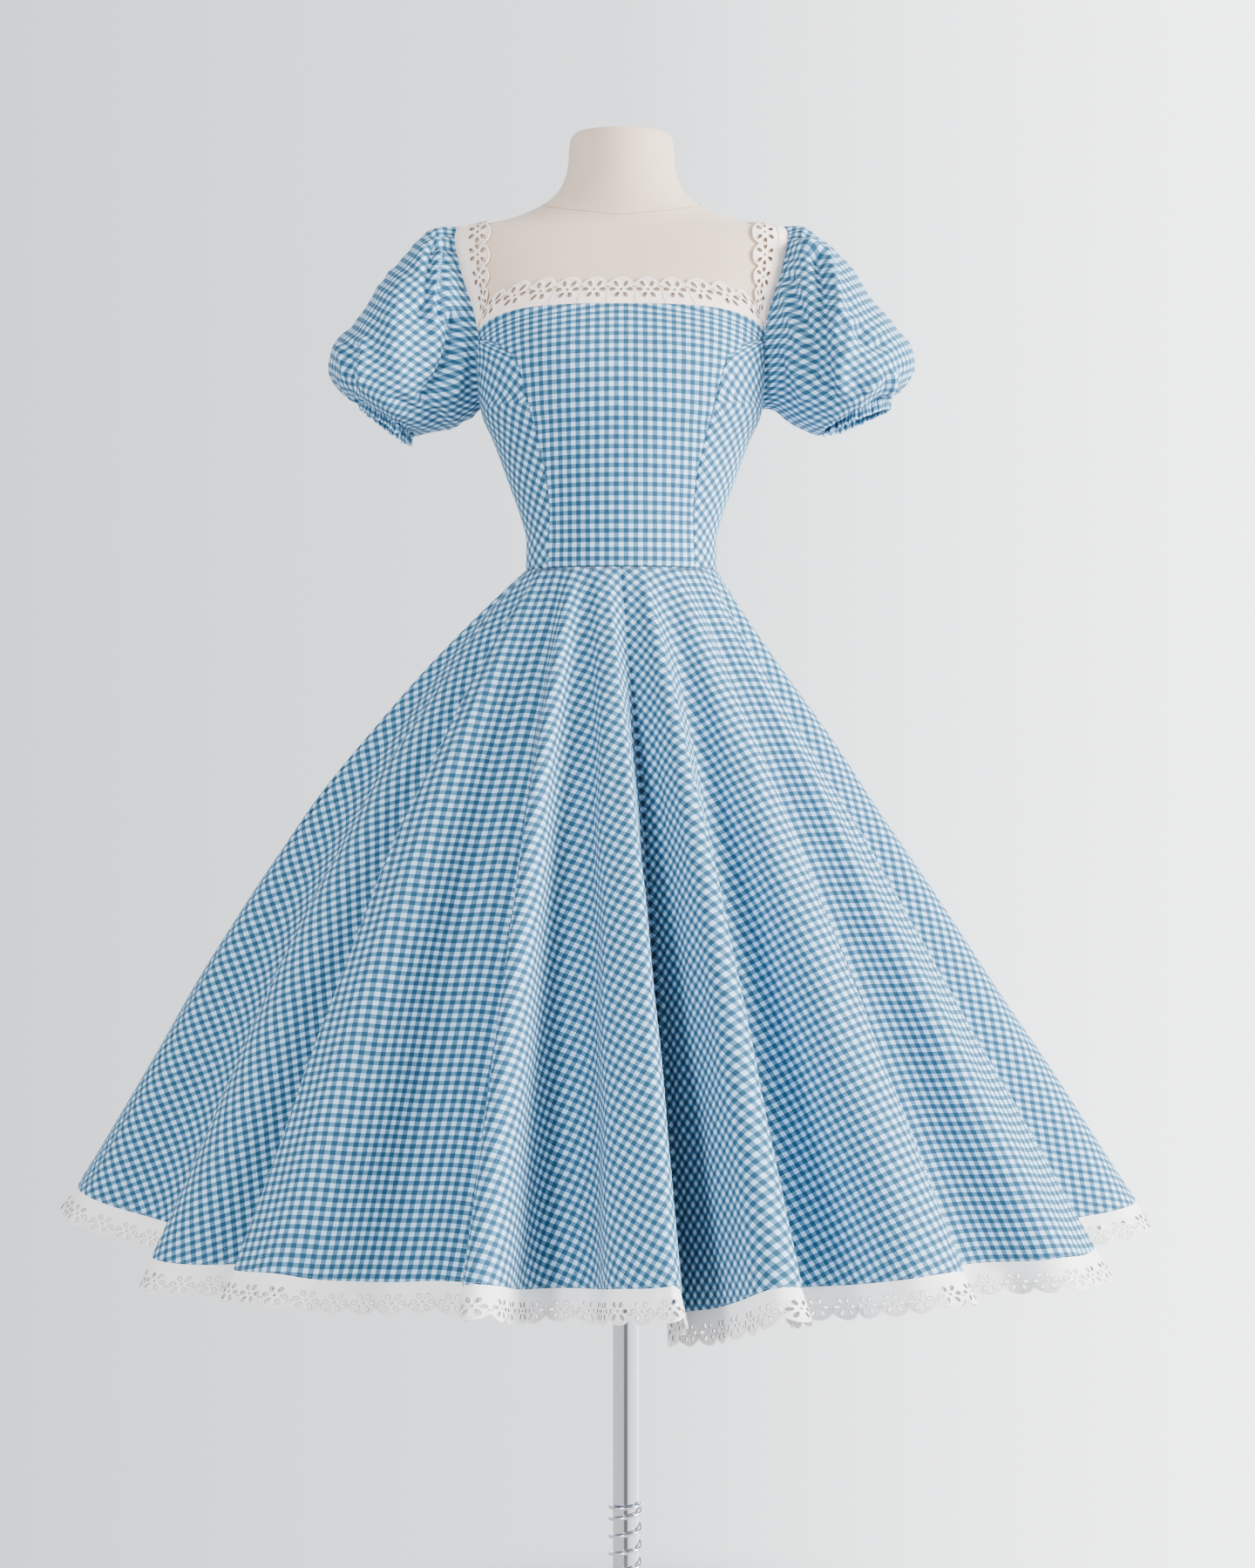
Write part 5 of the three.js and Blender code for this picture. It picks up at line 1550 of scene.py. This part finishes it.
class DRESS_OT_edging(bpy.types.Operator):
    """Make the eyelet edging at the hem, the neck and the straps, and the straps' bands."""

    bl_idname = "dress.edging"
    bl_label = "Eyelet edging"

    WAVE_HEIGHT = 3.0          # of the hem's edging, which hangs looser than the cloth
    WRINKLE_HEIGHT = 0.5
    FILLED_SHARE = 0.86        # of the edging's area, between its holes and scallops
    STRAP_LACE_WIDTH = 27.0
    BAND_WIDTH = 14.0
    BAND_LENGTH = 310.0
    BAND_UNDERLAP = 0.03       # of the strap's width, under the eyelet edging
    BAND_ROWS = 120
    BAND_COLUMNS = 16

    def execute(self, context):
        edging = context.scene.dress_edging
        plain = plain_cotton("plain cream strap cotton", edging.cream, 0.0004)
        white = plain_cotton("embroidered white eyelet cotton", edging.colour, 0.0006,
                             stitched=True)
        cream = plain_cotton("embroidered cream eyelet cotton", edging.cream, 0.0006,
                             stitched=True)
        self.hem(edging, white)
        self.neck(edging, cream)
        for side, word in ((-1, "left"), (1, "right")):
            self.strap(edging, cream, side, word)
            self.band(edging, plain, side, word)
        return {"FINISHED"}

    def declare(self, piece, node, length, height, held, under):
        """Let an edging stand for its solid and ride on the dress. The size that it was cut to
        and what it rests on are not used.
        """
        finish_piece(piece, node)

    def hem(self, edging, material):
        """Four lengths, each sewn under the hem of one gore."""
        height = (1 - BLUE_SHARE) * SKIRT_LENGTH
        length = HEM_LENGTH / 4
        for word, start in GORES:
            def place(along, across, lift, start=start):
                down = BLUE_SHARE + (1 - BLUE_SHARE) * across / height
                hang = np.clip(across / height, 0, 1)
                turn = 2 * np.pi * along
                wave = self.WAVE_HEIGHT * np.sin(17 * turn + 2 * np.sin(4 * turn))
                wave += self.WRINKLE_HEIGHT * np.sin(49 * turn + 2 * np.sin(7 * turn))
                return skirt_point(start + 0.25 * along, down, lift - 1 + (0.9 + wave) * hang)
            piece = edging_piece(f"hem_lace_{word}_eyelet", place, HEM_REPEATS, length, height,
                                 material, edging)
            self.declare(piece, f"hem_lace_{word}", length, height + EDGING_ALLOWANCE, "hung",
                         [f"skirt_{word}_cloth"])

    def neck(self, edging, material):
        """One length at the front and two at the back, which meet over the zip."""
        for name, column, start, share in (
            ("neck_lace_front", "front", -1.0, 2.0),
            ("neck_lace_back_left", "back", -1.0, 1.0),
            ("neck_lace_back_right", "back", 0.0, 1.0),
        ):
            parts = np.linspace(start, start + share, 400)
            shares, length = length_shares(self.neck_place(parts, 0.4, column))

            def place(along, across, lift, column=column, parts=parts, shares=shares):
                part = np.interp(along, shares, parts)
                rough = self.neck_place(part, across / LACE_HEIGHT, column)
                return lift_from_form(rough, BODICE_LIFT - 0.9 + lift)
            repeats = round(NECK_REPEATS * share / 2)
            piece = edging_piece(name + "_eyelet", place, repeats, length,
                                 LACE_HEIGHT + 3.5, material, edging)
            self.declare(piece, name, length, LACE_HEIGHT + 6, "stretched", ["form_cover"])

    def neck_place(self, part, rise, column):
        """Point between the neckline and the top of its edging, from one armhole to the other."""
        top_z = lerp(NECK_CENTRE_Z + LACE_HEIGHT, LACE_CORNER_Z, np.abs(part) ** 4)
        low_angle = part * armhole_angle(np.array(NECK_CORNER_Z), column)
        high_angle = part * angle_at_width(STRAP_INNER_X, top_z)
        if column == "back":
            low_angle, high_angle = np.pi - low_angle, np.pi - high_angle
        low = form_point(low_angle, neck_height(part))
        high = form_point(high_angle, top_z)
        return lerp(low, high, np.asarray(rise)[..., None])

    def strap_line(self, along, side, outer):
        """Inner or outer edge of the strap, from the front corner over the shoulder."""
        if outer:
            first = math.acos((ARMHOLE_Z - NECK_CORNER_Z) / ARMHOLE_HALF_HEIGHT)
            return armhole_point(first + along * 2 * (math.pi - first), side)
        turn = np.pi * along
        near, far = np.zeros_like(turn), np.full_like(turn, 200.0)
        for _ in range(26):
            middle = (near + far) / 2
            points = self.on_ray(turn, middle, side)
            within = form_field(points) < 0
            near, far = np.where(within, middle, near), np.where(within, far, middle)
        return self.on_ray(turn, near, side)

    def on_ray(self, turn, reach, side):
        """Point of the plane in which the strap's inner edge lies."""
        return np.stack([np.full_like(turn, side * STRAP_INNER_X), -reach * np.cos(turn),
                         LACE_CORNER_Z + reach * np.sin(turn)], -1)

    def strap(self, edging, material, side, word):
        """Eyelet edging along the inner side of a strap, its scallops towards the neck."""
        width = self.STRAP_LACE_WIDTH
        samples = np.linspace(0.002, 0.998, 300)
        edges = [self.strap_line(samples, side, outer) for outer in (False, True)]
        shares, length = length_shares(lerp(*edges, 0.3))

        def place(along, across, lift):
            along = np.interp(along, shares, samples)
            inner = self.strap_line(along, side, outer=False)
            outer = self.strap_line(along, side, outer=True)
            share = STRAP_LACE_SHARE * (1 - across / width)
            return lift_from_form(lerp(inner, outer, share[:, None]), STRAP_LIFT + lift)
        piece = edging_piece(f"strap_lace_{word}_eyelet", place, STRAP_REPEATS, length,
                             width + 3.0, material, edging, inside=(side * 120, 0, 1560))
        self.declare(piece, f"strap_lace_{word}", length, width + 6, "stretched",
                     ["form_cover"])

    def band(self, edging, material, side, word):
        """Plain band between the eyelet edging and the sleeve, its inner edge folded under."""
        along = np.linspace(0.004, 0.996, self.BAND_ROWS)
        share = np.linspace(STRAP_LACE_SHARE - self.BAND_UNDERLAP, 0.99, self.BAND_COLUMNS)
        inner = self.strap_line(along, side, outer=False)[:, None]
        outer = self.strap_line(along, side, outer=True)[:, None]
        rough = lerp(inner, outer, share[None, :, None])
        across = np.linspace(0, 1, self.BAND_COLUMNS)
        crown = 0.5 + 0.6 * np.sqrt(np.clip(1 - (2 * across - 1) ** 6, 0, 1))
        points = lift_from_form(rough, STRAP_LIFT + np.broadcast_to(crown, rough.shape[:2]))
        flat = np.stack(np.broadcast_arrays(self.BAND_WIDTH * across[None, :],
                                            self.BAND_LENGTH * along[:, None]), -1)
        faces = grid_faces(self.BAND_ROWS, self.BAND_COLUMNS)
        piece = make_object(f"strap_band_{word}_cloth", points, faces, material, flat,
                            inside=(side * 120, 0, 1560))
        thicken(piece, edging.thickness)
        finish_piece(piece, f"strap_band_{word}")


class DRESS_OT_zip(bpy.types.Operator):
    """Make the zip's slider and its pull tab at the centre back."""

    bl_idname = "dress.zip"
    bl_label = "Zip"

    # Slider seen from behind: wide shoulders at the top and a narrow tail
    SLIDER = ((-2.6, -6), (2.6, -6), (3.0, -3), (4.0, 1.5), (4.0, 4.6), (3.0, 6), (-3.0, 6),
              (-4.0, 4.6), (-4.0, 1.5), (-3.0, -3))
    # Wire that holds the tab: distance out from the slider, height from its middle
    ARCH = ((0, 2.8), (2.3, 2.8), (2.9, 2.2), (2.9, -2.2), (2.3, -2.8), (0, -2.8))
    ARCH_WIRE = 0.5
    TAB_THICKNESS = 1.2
    TAB_END = (3.1, 3.05, -20.3)    # half width, half height and place of the round end
    TAB_HOLE = (1.3, -19.6)         # radius and place of the hole in it

    def execute(self, context):
        nickel = plated_metal("satin nickel", srgb("bcbab4"), 0.3, 0.06)
        y = float(form_size("back", np.array(ZIP_Z))) + SOLID_EASE + SOLID_CLOTH
        y += ZIP_CLEARANCE
        self.plate("zip_slider_body", [self.SLIDER], SLIDER_THICKNESS, 0.35,
                   (0, y + SLIDER_THICKNESS / 2, ZIP_Z), nickel, "zip_slider", DRESS_BODY)
        arch_y = y + SLIDER_THICKNESS
        path = [(0, arch_y + out, ZIP_Z + rise) for out, rise in self.ARCH]
        arch = along_lines("zip_slider_arch", [path], wire_tree(nickel),
                           {"Radius": self.ARCH_WIRE * MM})
        finish_detail(arch)
        tab_y = arch_y + TAB_BAR_REACH
        self.plate("zip_pull_tab_plate", self.tab_outline(), self.TAB_THICKNESS, 0.25,
                   (0, tab_y, ZIP_Z), nickel, "zip_pull", TAB_BODY)
        return {"FINISHED"}

    def tab_outline(self):
        """Pull tab with its slot, hanging down from the bar."""
        half_width, half_height, end_z = self.TAB_END
        low = [(half_width * math.cos(turn), end_z + half_height * math.sin(turn))
               for turn in np.radians(np.linspace(180, 360, 13))]
        outer = low + [(2.9, -1.0), (2.3, 0.6), (-2.3, 0.6), (-2.9, -1.0)]
        slot = [(-1.6, -0.7), (1.6, -0.7), (1.6, -4.8), (-1.6, -4.8)]
        radius, hole_z = self.TAB_HOLE
        hole = [(radius * math.cos(turn), hole_z + radius * math.sin(turn))
                for turn in np.radians(np.linspace(0, 345, 16))]
        return [outer, slot, hole]

    def plate(self, name, loops, thickness, edge, place, material, node, body):
        """Flat plate with rounded edges from its outlines, upright and facing backwards."""
        curve = bpy.data.curves.new(name, "CURVE")
        curve.dimensions = "2D"
        curve.fill_mode = "BOTH"
        curve.extrude = (thickness / 2 - edge) * MM
        curve.bevel_depth = edge * MM
        curve.bevel_resolution = 2
        curve.offset = -edge * MM
        for loop in loops:
            spline = curve.splines.new("POLY")
            spline.points.add(len(loop) - 1)
            for point, (x, z) in zip(spline.points, loop):
                point.co = (x * MM, z * MM, 0, 1)
            spline.use_cyclic_u = True
        mesh = plain_mesh(add_object(name + "_outline", curve), name)
        for vertex in mesh.vertices:
            x, z, y = vertex.co
            vertex.co = (x + (place[0] + FORM_X) * MM, place[1] * MM - y, z + place[2] * MM)
        mesh.materials.clear()
        mesh.materials.append(material)
        finish_piece(add_object(name, mesh), node, body)


class DRESS_OT_stitching(bpy.types.Operator):
    """Sew the seams and hems: a row of stitches along each line."""

    bl_idname = "dress.stitching"
    bl_label = "Stitching"

    HEM_ROW = 0.0022           # shares of the skirt's length over the edge of the blue cloth
    HEM_TURNING = 0.0197
    TACK_PITCH = 50.0
    TACK_REACH = 9.0
    WAIST_ROW = 0.004          # share of the skirt's length under the waist

    def execute(self, context):
        blue = cotton_thread("blue sewing thread", srgb("8fb0c6"))
        white = cotton_thread("white sewing thread", srgb("f2f0ea"))
        rows = {"Spacing": 0.0034, "Length": 0.0026, "Thread": 0.0004}
        self.sew("hem_stitches", self.hem_lines(), blue, rows, "gingham")
        self.sew("waist_stitches", self.waist_lines(), blue, rows, "gingham")
        self.sew("neck_stitches", self.neck_lines(), white, rows, "eyelet")
        self.sew("zip_stitches", self.back_lines(), blue, rows, "gingham")
        return {"FINISHED"}

    def sew(self, name, lines, thread, rows, slot):
        """Lay stitches along lines of points."""
        finish_detail(along_lines(name, lines, stitch_tree(thread), rows))

    def hem_lines(self):
        """Row along the edging, and the hand tacks that hold the hem's turning."""
        rows = [skirt_point(np.linspace(0, 1, 2600), BLUE_SHARE - self.HEM_ROW, STITCH_LIFT)]
        chance = np.random.default_rng(3)
        for middle in np.arange(self.TACK_PITCH / 2, HEM_LENGTH, self.TACK_PITCH):
            reach = np.linspace(-self.TACK_REACH, self.TACK_REACH, 7) * chance.uniform(0.6, 1.1)
            slope = chance.uniform(-0.0006, 0.0006)
            down = BLUE_SHARE - self.HEM_TURNING + slope * reach
            rows.append(skirt_point((middle + reach) / HEM_LENGTH, down, STITCH_LIFT))
        return rows

    def waist_lines(self):
        """Row just under the waist seam."""
        return [skirt_point(np.linspace(0, 1, 240), self.WAIST_ROW, STITCH_LIFT)]

    def neck_lines(self):
        """Row along the neckline seam, on the edging."""
        lines = []
        for column in ("front", "back"):
            part = np.linspace(-0.98, 0.98, 200)
            angle = part * armhole_angle(np.array(NECK_CORNER_Z), column)
            angle = angle if column == "front" else np.pi - angle
            rough = form_point(angle, neck_height(part) + 1.6)
            lines.append(lift_from_form(rough, BODICE_LIFT - 0.8))
        return lines

    def back_lines(self):
        """Rows beside the lapped zip, from the neckline to below the waist."""
        lines = []
        for x in (-1.6, 7.5):
            z = np.linspace(NECK_CENTRE_Z - 4, WAIST_Z + 3, 120)
            angle = np.pi - angle_at_width(abs(x), z) * np.sign(x)
            under = form_point(angle, z)
            lines.append(under + unit(form_gradient(under)) * (BODICE_LIFT + 0.05))
        return lines


class DRESS_PT_panel(bpy.types.Panel):
    """Lists the pieces of the dress and the sizes and colours that they use."""

    bl_idname = "DRESS_PT_panel"
    bl_label = "Dress"
    bl_space_type = "VIEW_3D"
    bl_region_type = "UI"
    bl_category = "Dress"

    def draw(self, context):
        for holder, group in SETTINGS.items():
            box = self.layout.box()
            for name in group.__annotations__:
                box.prop(getattr(context.scene, holder), name)
        for operator in OPERATORS:
            self.layout.operator(operator.bl_idname)


OPERATORS = (
    DRESS_OT_studio, DRESS_OT_form, DRESS_OT_stand, DRESS_OT_bodice, DRESS_OT_sleeves,
    DRESS_OT_skirt, DRESS_OT_edging, DRESS_OT_zip, DRESS_OT_stitching,
)
CLASSES = (*SETTINGS.values(), *OPERATORS, DRESS_PT_panel)


def register():
    """Register the classes and hang the settings on the scene."""
    for entry in CLASSES:
        bpy.utils.register_class(entry)
    for holder, group in SETTINGS.items():
        setattr(bpy.types.Scene, holder, bpy.props.PointerProperty(type=group))


def unregister():
    """Undo register."""
    for holder in SETTINGS:
        delattr(bpy.types.Scene, holder)
    for entry in reversed(CLASSES):
        bpy.utils.unregister_class(entry)


def main():
    """Make everything."""
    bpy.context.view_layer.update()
    register()
    bpy.ops.dress.studio()
    bpy.ops.dress.form()
    bpy.ops.dress.stand()
    bpy.ops.dress.bodice()
    bpy.ops.dress.sleeves()
    bpy.ops.dress.skirt()
    bpy.ops.dress.edging()
    bpy.ops.dress.zip()
    bpy.ops.dress.stitching()


if __name__ == "__main__":
    main()
